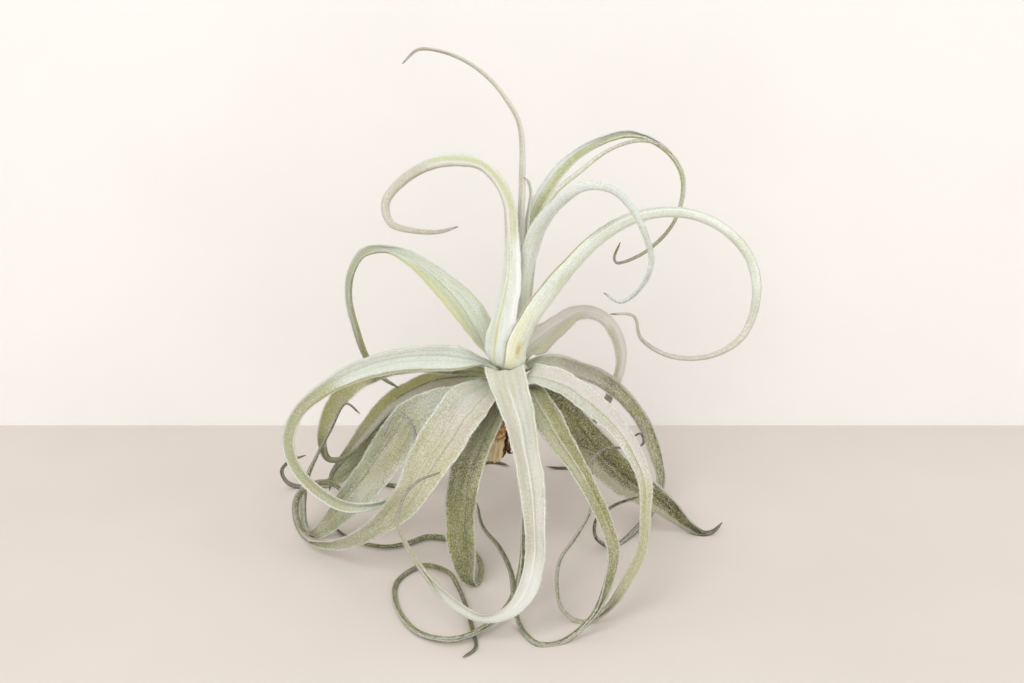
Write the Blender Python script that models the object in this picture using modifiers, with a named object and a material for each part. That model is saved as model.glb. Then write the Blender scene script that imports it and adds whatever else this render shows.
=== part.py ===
# A curly-leaved air plant that stands on its recurved lower leaves.
# Run it with: blender --background --python part.py

import math

import bpy
import numpy as np
from mathutils import Matrix, Vector

MM = 0.001

# Stem: a short woody core, cut off flat at the foot and leaning a little to the right
STEM_LEAN = 9.0
STEM_AXIS_X = 2.0
STEM_AXIS_Z = 84.0
STEM_PROFILE = ((0.0, 86.0), (1.5, 85.4), (2.6, 83.0), (3.9, 78.0), (4.8, 72.0),
                (5.1, 64.0), (4.9, 54.0), (4.3, 44.0), (3.6, 39.0), (0.0, 39.0))

# Leaves: channelled blades that roll up into a thin tail
CLEARANCE = 0.3
BLADE_THICKNESS = 0.85
MARGIN_THINNING = 0.22
TAIL_THICKNESS = 0.9
TIP_THICKNESS = 0.7
ROLLS_UP_FROM = 3.6
ROLLED_AT = 1.9
STATION_STEP = 10.0
STATION_TURN = math.radians(31)
SAMPLES_A_SPAN = 14

# Where the section's corners lie across the blade, -1 and 1 being its margins
ACROSS = np.array((-1.0, -0.42, 0.42, 1.0))

GREY_GREEN = (0.50, 0.54, 0.42)
PALE_GREEN = (0.64, 0.69, 0.53)
FROSTED = (0.66, 0.66, 0.56)
OLIVE = (0.34, 0.36, 0.22)
DEEP_GREEN = (0.22, 0.25, 0.14)
TAN = (0.62, 0.36, 0.15)
BROWN = (0.20, 0.09, 0.04)
STEM_GREEN = (0.42, 0.40, 0.24)

# seat: angle round the stem and height on it. foot: width at the stem.
# spine: points x, y, z that the blade passes through, and its width there, in millimetres.
# cup: how deep the channel is, as a share of the width.
# twist: degrees that the blade turns about its spine, and the share of its length by which it has turned.
LEAVES = {
    "leaf_top_whip": {
        "seat": (190, 84.5), "foot": 3, "colour": GREY_GREEN, "cup": 0.16,
        "spine": ((2, 0, 92, 4), (3.2, 1.2, 104, 4.2), (4, 3, 118, 3.8), (5, 6, 140, 2.6),
                  (4, 11, 161, 2), (-1, 13, 170, 1.8), (-7, 14, 177, 1.6), (-15, 13, 183, 1.5),
                  (-24, 10, 187, 1.3), (-31, 6, 188, 1.1), (-36, 2, 184, 0.8))},
    "leaf_young_heart": {
        "seat": (75, 85), "foot": 2, "colour": OLIVE,
        "spine": ((4.2, 3.4, 96, 2.4), (6.2, 6, 117, 2), (7, 6, 129, 1.6), (8, 6, 137, 1.2),
                  (7, 5, 142, 1), (5.5, 4, 143.5, 0.8))},
    "leaf_top_left_curl": {
        "seat": (238, 76.8), "foot": 5.6, "colour": PALE_GREEN, "cup": 0.22,
        "spine": ((-2.5, -5.6, 79.5, 10.6), (-2.5, -6.6, 86, 12), (-1, -6.5, 98, 9), (1, -6, 111, 7),
                  (1, -5, 124, 5.8), (0, -4, 136, 4.4), (-3, -3, 143, 4.2), (-9, -1, 149, 4.2),
                  (-17, 2, 150, 4.2), (-27, 5, 148, 4), (-37, 6, 142, 3.6), (-43, 3, 135, 3),
                  (-41, -3, 129, 2.6), (-33, -9, 128, 2.2), (-24, -14, 129, 1.6), (-17, -18, 132, 0.9))},
    "leaf_high_right_arch": {
        "seat": (82, 80.5), "foot": 4.6, "colour": GREY_GREEN,
        "spine": ((5, 6.5, 97, 6.5), (6, 10, 115, 6), (9, 14, 127, 4.8), (14, 18, 136, 4.6),
                  (22, 22, 145, 4), (32, 25, 151, 3.2), (44, 26, 154, 2.7), (55, 25, 150, 2.4),
                  (62, 22, 142, 2), (63, 19, 134, 1.8), (59, 15, 123, 1.5), (49, 11, 114, 1.3),
                  (39, 8, 111, 1.1), (38, 7.5, 113, 1), (40, 7, 119, 0.8))},
    "leaf_high_right_inner": {
        "seat": (26, 83), "foot": 3, "colour": GREY_GREEN,
        "spine": ((7, 3, 98, 3.8), (9, 6, 117, 3.2), (12.5, 8.5, 130, 2.6), (17, 10, 137, 2.1),
                  (25, 10, 144, 1.9), (35, 9, 152, 1.5), (45, 7, 156, 1.3), (53, 5, 155, 1),
                  (57, 4, 152, 0.8))},
    "leaf_mid_right_arch": {
        "seat": (-48, 80), "foot": 5, "colour": FROSTED, "twist": (-40, 0.3),
        "spine": ((5, -2.2, 97, 6), (6.2, -2.8, 111, 5.4), (8, -4.4, 120, 5.6), (11, -7, 129, 5.4),
                  (17, -11, 138, 4.5), (26, -14, 145, 3.5), (35, -17, 145, 3), (42, -19, 139, 2.6),
                  (47, -20, 129, 2.2), (49, -20, 120, 2), (46, -19, 111, 1.7), (39, -18, 105, 1.3),
                  (33, -17, 108, 0.9))},
    "leaf_great_right_loop": {
        "seat": (-78, 75.5), "foot": 6.5, "colour": PALE_GREEN, "cup": 0.2,
        "spine": ((2.4, -9.8, 79.6, 7.6), (3.2, -10.2, 86, 7.6), (7, -9.7, 94.6, 7),
                  (13.4, -8.1, 104, 6.8), (22, -5, 114, 6), (32, -1, 123, 5), (45, 4, 129, 4.2),
                  (61, 7, 130, 3.6), (75, 8, 125, 3.5), (86, 7, 114, 3.4), (89, 3, 101, 3.2),
                  (84, -4, 88, 2.6), (72, -12, 83, 2.1), (57, -18, 85, 1.8), (46, -22, 93, 1.4),
                  (43, -24, 102, 1.1), (35, -25, 103, 0.8))},
    "leaf_upper_left_arch": {
        "seat": (160, 76), "foot": 5.4, "colour": PALE_GREEN, "cup": 0.24, "twist": (-62, 0.28),
        "spine": ((-8, 3.6, 80.5, 9.4), (-12, 5.5, 88, 12.4), (-18, 9.5, 96, 11.6), (-26, 14, 103, 9.2),
                  (-36, 20, 109, 6.2), (-45, 25, 111, 3.4), (-54, 29, 108, 3.4), (-59, 31, 99, 3.5),
                  (-60, 32, 89, 3.4), (-58, 32, 78, 3), (-54, 31, 66, 2.4), (-49, 30, 59, 1.8),
                  (-42, 28, 55, 1))},
    "leaf_rear_right_arch": {
        "seat": (56, 75.5), "foot": 6, "colour": FROSTED, "cup": 0.22, "twist": (90, 0.15),
        "spine": ((6.2, 8.4, 78, 9.4), (11.6, 12, 81.2, 11.6), (18, 18, 84.3, 9.6), (27, 27, 86, 5.6),
                  (36, 34, 81, 4.6), (42, 38, 70, 4.6), (43, 39, 60, 4.2), (40, 38, 50, 3.6),
                  (35, 36, 40, 2.6), (28, 33, 33, 1.7), (20, 30, 30, 1))},
    "leaf_front_long": {
        "seat": (-92, 72.5), "foot": 6.2, "colour": FROSTED, "cup": 0.14,
        "spine": ((-1.3, -9.2, 76.6, 14), (0.8, -17, 71.6, 13.2), (4, -28, 65, 10.5), (6, -38, 58, 9.6),
                  (8, -48, 50, 8.6), (9, -57, 39, 7.4), (9, -63, 29, 6.6), (6, -68, 19, 6),
                  (0, -71, 13, 4.6), (-9, -71, 11, 3.6), (-19, -69, 16, 3.2), (-28, -67, 26, 2.4),
                  (-35, -64, 37, 1.6), (-37, -62, 42, 1.2), (-35, -58, 49, 1.1), (-31, -54, 53, 1),
                  (-23, -50, 55, 0.8))},
    "leaf_left_great_curl": {
        "seat": (200, 72.5), "foot": 7, "colour": FROSTED, "cup": 0.3, "twist": (-70, 0.14),
        "spine": ((-9.8, -2, 76.5, 8.2), (-17, -6, 79, 9.2), (-28, -10, 81, 8.8), (-40, -13, 81, 8.4),
                  (-53, -15, 78, 7.2), (-65, -17, 72, 5.6), (-74, -18, 64, 4.8), (-78, -19, 54, 4.4),
                  (-76, -20, 44, 4.4), (-69, -22, 36, 4.4), (-58, -24, 30, 4), (-46, -24, 31, 3),
                  (-37, -23, 37, 2.2), (-33, -22, 49, 1.6), (-34, -21, 60, 1.3), (-38, -20, 64, 1.1),
                  (-42, -19, 61, 1), (-44, -18, 55, 0.8))},
    "leaf_right_front_drop": {
        "seat": (-30, 70.5), "foot": 6.5, "colour": FROSTED, "cup": 0.16, "twist": (28, 0.1),
        "spine": ((7.4, -6, 72.9, 9.4), (12.6, -8.5, 73.6, 11), (21, -14.3, 72.3, 11),
                  (29, -22.3, 69, 9.4), (37, -30, 64, 7.2), (43, -37, 57, 6.2), (47, -43, 48, 5.2),
                  (47, -48, 39, 4.4), (46, -52, 28, 4), (41, -55, 17, 3.8), (34, -56, 6, 2.8),
                  (26, -55, 0.5, 1.9), (19, -53, 4, 1.5), (17, -49, 11, 1.5), (18, -45, 19, 1.4),
                  (24, -41, 27, 1.4), (29, -36, 35, 1.3), (29, -32, 44, 1.3), (30, -27, 50, 1.2),
                  (35, -23, 52, 1.1), (43, -20, 51, 1), (48, -19, 52, 1), (47, -19, 56, 0.9),
                  (44, -20, 55, 0.8))},
    "leaf_right_rear_drop": {
        "seat": (15, 73), "foot": 5.4, "colour": GREY_GREEN, "cup": 0.18, "twist": (110, 0.15),
        "spine": ((8.6, 3.2, 73.4, 7.4), (15, 8, 71.8, 8.6), (25, 17, 66.8, 8), (35, 26, 59.6, 6.8),
                  (45, 34, 48, 6), (53, 39, 35, 5.4), (58, 40, 21, 4.8), (60, 36, 13, 3.6),
                  (56, 26, 5, 2.9), (48, 13, 1.5, 2.3), (39, 2, 0.7, 1.7), (33, 1, 5, 1.5),
                  (33, 2, 12, 1.4), (40, 4, 17, 1.3), (49, 5, 20, 0.9))},
    "leaf_front_left_broad": {
        "seat": (234, 68), "foot": 7, "colour": GREY_GREEN, "cup": 0.16, "twist": (-30, 0.18),
        "spine": ((-8, -10, 69.5, 12), (-13, -17, 68, 15.6), (-18, -24, 64, 17.6), (-23, -29, 57.5, 17.4),
                  (-29, -33, 49, 15.6), (-35, -34, 38, 12.2), (-44, -30, 27, 7.6), (-55, -22, 16, 5),
                  (-67, -9, 7, 3.6), (-76, -1, 6, 3), (-80, 3, 13, 2.8), (-79, 7, 20, 2.5),
                  (-72, 9, 24, 2.3), (-66, 8, 24, 2), (-61, 6, 20, 1))},
    "leaf_front_right_floor": {
        "seat": (-58, 67), "foot": 6.5, "colour": GREY_GREEN, "cup": 0.16, "twist": (22, 0.15),
        "spine": ((7, -9, 69, 9.6), (11.5, -17, 64.5, 11.8), (17.5, -26, 57, 11.4), (24, -35, 50, 8.4),
                  (29, -42, 43, 6.4), (33, -48, 36, 5.6), (36, -54, 27, 4.4), (34, -60, 18, 3.2),
                  (29, -64, 8, 2.4), (20, -68, 1.2, 2.1), (15, -70, 0.3, 2), (10, -70, 0.6, 1.9),
                  (4, -59, 1.6, 1.8), (2, -54, 9, 1.7), (1, -48, 16, 1.6), (-3, -43, 23, 1.5),
                  (-9, -38, 29, 1.3), (-11, -34, 36, 0.9))},
    "leaf_left_fold": {
        "seat": (213, 64.5), "foot": 6.5, "colour": GREY_GREEN, "cup": 0.14, "twist": (-50, 0.18),
        "spine": ((-10, -7, 66, 8.5), (-18, -11, 65.5, 10.5), (-28, -12, 63, 12), (-35, -12, 58, 14),
                  (-40, -9, 49, 14.6), (-46, -5, 39, 14.2), (-53, -1, 28, 12.6), (-61, 4, 17, 9.6),
                  (-69, 9, 6, 6.2), (-75, 12, 0.8, 3.6), (-78, 14.5, 2, 3.2), (-79, 16, 11, 3.4),
                  (-77, 16, 23, 2.6), (-75, 15, 33, 2), (-69, 14, 41, 1.2), (-61, 13, 52, 1),
                  (-56, 13, 48, 0.8))},
    "leaf_left_rear_bend": {
        "seat": (176, 70), "foot": 6, "colour": OLIVE, "cup": 0.18, "twist": (-90, 0.2),
        "spine": ((-9, 1, 72.5, 7.2), (-18, 4, 73, 7.4), (-31, 8, 73, 7.4), (-44, 12, 70, 7.4),
                  (-56, 15, 63, 7.2), (-64, 18, 54, 6.4), (-69, 20, 44, 5), (-71, 21, 35, 3.6),
                  (-69, 22, 28, 2.6), (-64, 22, 28, 2), (-58, 22, 32, 1.5), (-54, 21, 37, 0.9))},
    "leaf_left_rear_olive": {
        "seat": (146, 68), "foot": 6, "colour": OLIVE, "cup": 0.18, "twist": (-75, 0.2),
        "spine": ((-9, 6, 68, 6.8), (-17, 11, 66, 8), (-27, 18, 62, 8.4), (-37, 25, 55, 8.2),
                  (-46, 31, 47, 7.4), (-55, 36, 35, 5.6), (-62, 41, 24, 4.2), (-67, 44, 17, 3),
                  (-71, 46, 10, 1.9), (-72, 47, 3, 1))},
    "leaf_front_down": {
        "seat": (250, 62), "foot": 6, "colour": GREY_GREEN, "cup": 0.12,
        "spine": ((-4, -10, 63, 8.2), (-7, -15, 59, 9.6), (-11, -20, 53, 11), (-14, -24, 46, 11.2),
                  (-16, -27, 37, 11.2), (-17, -29, 26, 10.8), (-16, -31, 14, 9.2),
                  (-14.5, -30.5, 4, 4.8), (-12, -28, 0.6, 2.8), (-10, -20, 0.8, 2.3),
                  (-11, -9, 1.4, 1.9), (-17, 4, 1.3, 1.9), (-24, 8, 1.3, 2.2), (-31, 9, 1.3, 2.1),
                  (-38, 4, 1.2, 1.9), (-46, 1, 1.2, 1.6), (-55, 4, 1.2, 1.4), (-63, 11, 1.1, 1.2),
                  (-69, 22, 1, 0.8))},
    "leaf_right_floor_broad": {
        "seat": (-2, 65), "foot": 6.5, "colour": DEEP_GREEN, "cup": 0.12, "twist": (80, 0.15),
        "spine": ((8, 0, 65, 8), (13, 0, 62, 9), (20, 2, 56, 10.4), (27, 5, 46, 12), (35, 8, 35, 13.4),
                  (44, 10, 25, 12.4), (53, 12, 18, 10), (62, 14, 10, 7.4), (69, 15, 3, 4),
                  (75, 13, 0.7, 2.4), (79, 14, 1.5, 1.6), (82, 14, 5, 0.9))},
    "leaf_left_floor_tail": {
        "seat": (148, 62), "foot": 6, "colour": DEEP_GREEN, "cup": 0.16, "twist": (-75, 0.2),
        "spine": ((-10, 5, 62, 7), (-17, 10, 59, 8), (-28, 18, 53, 9), (-38, 27, 44, 9.2),
                  (-48, 36, 33, 9.4), (-57, 44, 21, 9), (-65, 51, 10, 6.6), (-72, 56, 3, 3.6),
                  (-79, 57, 0.8, 2.4), (-85, 56, 0.5, 2), (-90, 55, 3, 1.7), (-92, 55, 8, 1.5),
                  (-89, 55, 12, 1.3), (-82, 55, 15, 0.9))},
    "leaf_front_floor_loop": {
        "seat": (-76, 56), "foot": 4.4, "colour": OLIVE, "cup": 0.2,
        "spine": ((3.5, -11, 57, 5.2), (4, -20, 53, 6), (5.5, -30, 46, 5.8), (6.5, -38, 38, 4.8),
                  (6, -45, 28, 3.8), (5, -48, 18, 3), (1, -52, 7, 2.5), (-7, -62, 3.2, 2.3),
                  (-18, -70, 2.4, 2.2), (-30, -64, 1.2, 2.1), (-39, -45, 0.5, 2.1), (-40, -25, 0.6, 2),
                  (-31, -14, 1.2, 1.9), (-22, -20, 1.6, 1.8), (-18.5, -30, 1.8, 1.7),
                  (-15, -45, 1.8, 1.6), (-12, -62, 0.8, 1.5), (-11, -73, 0.7, 1.3),
                  (-15, -79, 0.7, 0.8))},
    "leaf_back_right": {
        "seat": (66, 59), "foot": 6, "colour": OLIVE, "cup": 0.18,
        "spine": ((4, 9, 60, 7), (9, 22, 56, 7.6), (15, 38, 47, 7.4), (21, 54, 33, 6.6), (26, 66, 17, 5),
                  (30, 74.5, 5, 3.2), (27.5, 75, 0.7, 2), (22, 74.5, 0.6, 1.2), (19, 74.6, 0.7, 1),
                  (15.8, 75, 1, 0.5))},
    "leaf_back_left": {
        "seat": (112, 58), "foot": 6, "colour": OLIVE, "cup": 0.18,
        "spine": ((-5, 9, 59, 7), (-12, 24, 54, 7.6), (-18, 41, 43, 7.4), (-25, 56, 28, 6.4),
                  (-31, 66, 12, 4.6), (-34, 69, 2, 3), (-35, 62, 0.6, 2.3), (-41, 56, 0.7, 2),
                  (-50, 58, 1, 1.7), (-53, 67, 2, 1.4), (-47, 74, 6, 1.1), (-40, 73, 9, 0.8))},
    "leaf_back_middle": {
        "seat": (88, 63), "foot": 6, "colour": GREY_GREEN, "cup": 0.18,
        "spine": ((-1, 9, 65, 7.4), (-2, 25, 62, 8), (-3, 43, 53, 7.6), (-5, 60, 36, 6.4),
                  (-8, 71, 17, 4.8), (-12, 76, 4, 3.2), (-12, 78, 0.6, 2.2), (-8.5, 80.5, 0.6, 1.5),
                  (-3, 79, 0.7, 1.2), (0.2, 75.8, 0.9, 0.5))},
    "leaf_back_high": {
        "seat": (104, 70), "foot": 6.5, "colour": PALE_GREEN, "cup": 0.2,
        "spine": ((-2, 9, 72.5, 9), (-3, 18, 75, 9), (-3, 30, 73, 8), (-1, 42, 65, 6.6), (2, 50, 52, 5.2),
                  (4, 54, 38, 4), (5, 52, 26, 3), (6, 45, 19, 2.2), (4, 40, 19, 1.6), (3, 37, 24, 0.9))},
}

# Dried sheaths that still wrap the foot of the stem: middle angle, spread, top, bottom and distance out
SCRAPS = {
    "dried_sheath_left": {"angle": 234, "spread": 96, "top": 55, "bottom": 40.5, "out": 0.35, "colour": TAN},
    "dried_sheath_right": {"angle": 346, "spread": 70, "top": 53, "bottom": 44, "out": 0.35, "colour": BROWN},
    "dried_sheath_back": {"angle": 100, "spread": 124, "top": 54, "bottom": 42, "out": 0.35, "colour": TAN},
}
SCRAP_THICKNESS = 0.75
SCRAP_COLUMNS = 9
SCRAP_ROWS = 4
SCRAP_RAG = 1.3
SCRAP_FLARE = 0.9


def clear_scene():
    for obj in list(bpy.data.objects):
        bpy.data.objects.remove(obj, do_unlink=True)


def plain_material(name, colour, roughness=0.85):
    material = bpy.data.materials.new(name)
    material.use_nodes = True
    shader = material.node_tree.nodes["Principled BSDF"]
    shader.inputs["Base Color"].default_value = (*colour, 1.0)
    shader.inputs["Roughness"].default_value = roughness
    shader.inputs["Metallic"].default_value = 0.0
    return material


def add_mesh_object(name, points, faces, colour, collection):
    mesh = bpy.data.meshes.new(name)
    mesh.from_pydata([Vector(p) * MM for p in points], [], faces)
    mesh.materials.append(plain_material(name, colour))
    mesh.shade_smooth()
    mesh.set_sharp_from_angle(angle=math.radians(50))
    obj = bpy.data.objects.new(name, mesh)
    collection.objects.link(obj)
    return obj


def stem_matrix():
    """From the stem's own frame, which is upright with heights as modelled, to the plant's."""
    pivot = Matrix.Translation((STEM_AXIS_X, 0, STEM_AXIS_Z))
    lean = Matrix.Rotation(math.radians(STEM_LEAN), 4, "Y")
    return pivot @ lean @ Matrix.Translation((0, 0, -STEM_AXIS_Z))


def stem_radius(height):
    side = [p for p in STEM_PROFILE if p[0] > 0][::-1]
    return float(np.interp(height, [p[1] for p in side], [p[0] for p in side]))


def on_stem(angle, height, out):
    turn = math.radians(angle)
    reach = stem_radius(height) + out
    return stem_matrix() @ Vector((reach * math.cos(turn), reach * math.sin(turn), height))


def smooth_path(knots):
    """Rows of a centripetal Catmull-Rom curve through rows of x, y, z and width."""
    rows = np.array(knots, float)
    rows = np.vstack([2 * rows[0] - rows[1], rows, 2 * rows[-1] - rows[-2]])
    times = np.concatenate([[0], np.cumsum(np.linalg.norm(np.diff(rows[:, :3], axis=0), axis=1) ** 0.5)])
    path = []
    for i in range(1, len(rows) - 2):
        p, t = rows[i - 1:i + 3], times[i - 1:i + 3]
        for now in np.linspace(t[1], t[2], SAMPLES_A_SPAN, endpoint=False):
            a = [(p[j] * (t[j + 1] - now) + p[j + 1] * (now - t[j])) / (t[j + 1] - t[j]) for j in range(3)]
            b = [(a[j] * (t[j + 2] - now) + a[j + 1] * (now - t[j])) / (t[j + 2] - t[j]) for j in range(2)]
            path.append((b[0] * (t[2] - now) + b[1] * (now - t[1])) / (t[2] - t[1]))
    path.append(rows[-2])
    return np.array(path)


def smooth_step(x):
    x = min(max(x, 0.0), 1.0)
    return x * x * (3 - 2 * x)


def unit(v):
    return v / np.linalg.norm(v)


def carried_frames(points, first_up):
    """Tangents, and upper-face directions carried along the path without spinning."""
    tangents = np.gradient(points, axis=0)
    tangents /= np.linalg.norm(tangents, axis=1)[:, None]
    ups = [unit(first_up - tangents[0] * first_up.dot(tangents[0]))]
    for tangent in tangents[1:]:
        ups.append(unit(ups[-1] - tangent * ups[-1].dot(tangent)))
    return tangents, np.array(ups)


def station_numbers(points, tangents):
    """Which path points get a section: closer together where the leaf bends."""
    steps = np.linalg.norm(np.diff(points, axis=0), axis=1)
    turns = np.arccos(np.clip((tangents[1:] * tangents[:-1]).sum(axis=1), -1, 1))
    measure = np.concatenate([[0], np.cumsum(steps / STATION_STEP + turns / STATION_TURN)])
    wanted = np.linspace(0, measure[-1], max(8, math.ceil(measure[-1]) + 1))
    return np.unique([int(np.abs(measure - w).argmin()) for w in wanted])


def leaf_section(width, thickness, cup):
    """Eight corners round the section, as (across, towards the upper face)."""
    half = width / 2
    sag = cup * width
    middle = np.stack([half * ACROSS, sag * (ACROSS ** 2 - 0.4)], axis=1)
    slope = 2 * sag * ACROSS / half
    normal = np.stack([-slope, np.ones(4)], axis=1) / np.sqrt(1 + slope ** 2)[:, None]
    thick = thickness * (1 - MARGIN_THINNING * np.abs(ACROSS))[:, None] / 2
    blade = np.vstack([middle - normal * thick, (middle + normal * thick)[::-1]])
    angles = np.radians((202.5, 247.5, 292.5, 337.5, 22.5, 67.5, 112.5, 157.5))
    tube = np.stack([max(half, thickness / 2) * np.cos(angles), 0.56 * thickness * np.sin(angles)], axis=1)
    rolled = np.clip((ROLLS_UP_FROM - width) / (ROLLS_UP_FROM - ROLLED_AT), 0, 1)
    return blade * (1 - rolled) + tube * rolled


def leaf_thickness(share, width):
    if width < ROLLED_AT:
        return TIP_THICKNESS + (TAIL_THICKNESS - TIP_THICKNESS) * min(1, (1 - share) * 12)
    return BLADE_THICKNESS


def make_leaf(name, leaf, collection):
    """A blade lofted along its spine, resting on the ground wherever it dips to it."""
    angle, height = leaf["seat"]
    seat = on_stem(angle, height, CLEARANCE + 0.4 * BLADE_THICKNESS)
    knots = [(*seat, leaf["foot"])] + list(leaf["spine"])
    path = smooth_path(knots)
    outward = np.array((math.cos(math.radians(angle)), math.sin(math.radians(angle)), 0.0))
    tangents, ups = carried_frames(path[:, :3], np.array((0.0, 0.0, 1.0)) - outward)
    length = np.concatenate([[0], np.cumsum(np.linalg.norm(np.diff(path[:, :3], axis=0), axis=1))])
    points = []
    stations = station_numbers(path[:, :3], tangents)
    twist, turned_by = leaf.get("twist", (0, 0.2))
    for i in stations:
        share = length[i] / length[-1]
        turn = math.radians(twist) * smooth_step(share / turned_by)
        section = leaf_section(path[i, 3], leaf_thickness(share, path[i, 3]), leaf.get("cup", 0.18))
        up = ups[i] * math.cos(turn) + np.cross(tangents[i], ups[i]) * math.sin(turn)
        side = np.cross(tangents[i], up)
        for across, towards in section:
            corner = path[i, :3] + side * across + up * towards
            points.append((corner[0], corner[1], max(corner[2], 0.0)))
    faces = [tuple(range(8)), tuple(range(len(points) - 1, len(points) - 9, -1))]
    for s in range(len(stations) - 1):
        for k in range(8):
            a, b = s * 8 + k, s * 8 + (k + 1) % 8
            # The lower half and the upper half are split along matching diagonals
            if k < 4:
                faces += [(a, b + 8, b), (a, a + 8, b + 8)]
            else:
                faces += [(a, a + 8, b), (b, a + 8, b + 8)]
    return add_mesh_object(name, points, faces, leaf["colour"], collection)


def make_stem(collection):
    mesh = bpy.data.meshes.new("stem")
    points = [Vector((radius, 0, height)) * MM for radius, height in STEM_PROFILE]
    mesh.from_pydata(points, [(i, i + 1) for i in range(len(points) - 1)], [])
    mesh.materials.append(plain_material("stem", STEM_GREEN))
    obj = bpy.data.objects.new("stem", mesh)
    collection.objects.link(obj)
    screw = obj.modifiers.new("Turn", "SCREW")
    screw.steps = 20
    screw.render_steps = 20
    screw.merge_threshold = 0.0001
    screw.use_merge_vertices = True
    placed = stem_matrix()
    placed.translation *= MM
    obj.matrix_world = placed
    return obj


def make_scrap(name, scrap, collection):
    """A dry sheath: a patch bent round the stem, flaring and ragged at its lower edge."""
    points = []
    for row in range(SCRAP_ROWS):
        down = row / (SCRAP_ROWS - 1)
        for column in range(SCRAP_COLUMNS):
            share = column / (SCRAP_COLUMNS - 1)
            angle = scrap["angle"] + scrap["spread"] * (share - 0.5)
            rag = SCRAP_RAG * math.sin(5.1 * column + scrap["angle"])
            height = scrap["top"] + (scrap["bottom"] + rag - scrap["top"]) * down
            points.append(on_stem(angle, height, scrap["out"] + SCRAP_FLARE * down ** 2))
    faces = []
    for row in range(SCRAP_ROWS - 1):
        for column in range(SCRAP_COLUMNS - 1):
            a = row * SCRAP_COLUMNS + column
            faces.append((a, a + SCRAP_COLUMNS, a + SCRAP_COLUMNS + 1, a + 1))
    obj = add_mesh_object(name, points, faces, scrap["colour"], collection)
    skin = obj.modifiers.new("Thickness", "SOLIDIFY")
    skin.thickness = SCRAP_THICKNESS * MM
    skin.offset = 1
    return obj


def bottom_centre(objects):
    """The middle of the plant's box at ground level."""
    bpy.context.view_layer.update()
    graph = bpy.context.evaluated_depsgraph_get()
    corners = []
    for obj in objects:
        shown = obj.evaluated_get(graph)
        corners += [obj.matrix_world @ vertex.co for vertex in shown.to_mesh().vertices]
        shown.to_mesh_clear()
    low = [min(c[i] for c in corners) for i in range(3)]
    high = [max(c[i] for c in corners) for i in range(3)]
    return Vector(((low[0] + high[0]) / 2, (low[1] + high[1]) / 2, low[2]))


def main():
    clear_scene()
    collection = bpy.data.collections.new("air_plant")
    bpy.context.scene.collection.children.link(collection)
    parts = [make_stem(collection)]
    for name, leaf in LEAVES.items():
        parts.append(make_leaf(name, leaf, collection))
    for name, scrap in SCRAPS.items():
        parts.append(make_scrap(name, scrap, collection))
    middle = bottom_centre(parts)
    for part in parts:
        part.location -= middle


main()
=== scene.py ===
import math

import bpy
import numpy as np
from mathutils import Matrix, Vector, noise


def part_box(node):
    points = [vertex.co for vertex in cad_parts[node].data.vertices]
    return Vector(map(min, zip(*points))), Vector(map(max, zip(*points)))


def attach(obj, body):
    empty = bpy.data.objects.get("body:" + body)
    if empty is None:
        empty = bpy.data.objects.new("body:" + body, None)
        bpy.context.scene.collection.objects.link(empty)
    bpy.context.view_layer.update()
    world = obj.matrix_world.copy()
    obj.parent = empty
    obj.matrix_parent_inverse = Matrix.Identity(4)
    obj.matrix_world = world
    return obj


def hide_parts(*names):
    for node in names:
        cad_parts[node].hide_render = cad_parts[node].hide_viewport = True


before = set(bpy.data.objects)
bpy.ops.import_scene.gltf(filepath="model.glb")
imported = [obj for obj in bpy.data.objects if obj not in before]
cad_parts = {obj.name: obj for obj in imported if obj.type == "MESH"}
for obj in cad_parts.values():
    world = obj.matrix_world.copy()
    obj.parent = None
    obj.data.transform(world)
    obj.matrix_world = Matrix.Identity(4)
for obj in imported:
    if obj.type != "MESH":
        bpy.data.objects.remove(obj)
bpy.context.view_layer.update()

mm = 0.001
print("frame loaded:", len(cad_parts), "nodes")


# camera, floor and light
studio = {
    "lens": 60, "sensorWidth": 36, "cameraPlace": (0.00234, -0.57826, 0.2940), "cameraPitch": 70,
    "wallY": 0.1207, "wallHeight": 2.2, "floorFront": -1.45, "reach": 3.0,
    "floorColour": (220, 211, 203), "wallColour": (250, 247, 243), "paintSwing": 9,
    "skyColour": (250, 252, 255), "skyStrength": 0.565, "seenSkyStrength": 0.92,
    "keyPlace": (-0.55, -1.25, 1.35), "keySize": 1.1, "keyPower": 17.0,
    "fillPlace": (1.1, -0.8, 0.9), "fillSize": 1.4, "fillPower": 5.6, "lightsAim": (0, 0, 0.08),
}


def srgb(colour):
    # from the 0-255 that a colour picker shows to the linear values a shader takes
    share = np.array(colour, float) / 255
    linear = np.where(share <= 0.04045, share / 12.92, ((share + 0.055) / 1.055) ** 2.4)
    return tuple(float(c) for c in linear) + (1.0,)


def placeCamera():
    data = bpy.data.cameras.new("camera")
    data.lens = studio["lens"]
    data.sensor_width = studio["sensorWidth"]
    data.clip_start = 0.01
    camera = bpy.data.objects.new("camera", data)
    camera.location = studio["cameraPlace"]
    camera.rotation_euler = (math.radians(studio["cameraPitch"]), 0, 0)
    bpy.context.scene.collection.objects.link(camera)
    bpy.context.scene.camera = camera


def addLight(name, place, size, power):
    data = bpy.data.lights.new(name, "AREA")
    data.shape = "DISK"
    data.size = size
    data.energy = power
    light = bpy.data.objects.new(name, data)
    light.location = place
    aim = np.array(studio["lightsAim"]) - np.array(place)
    flat = math.hypot(aim[0], aim[1])
    light.rotation_euler = (math.atan2(flat, -aim[2]), 0, math.atan2(-aim[0], aim[1]))
    bpy.context.scene.collection.objects.link(light)


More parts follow.
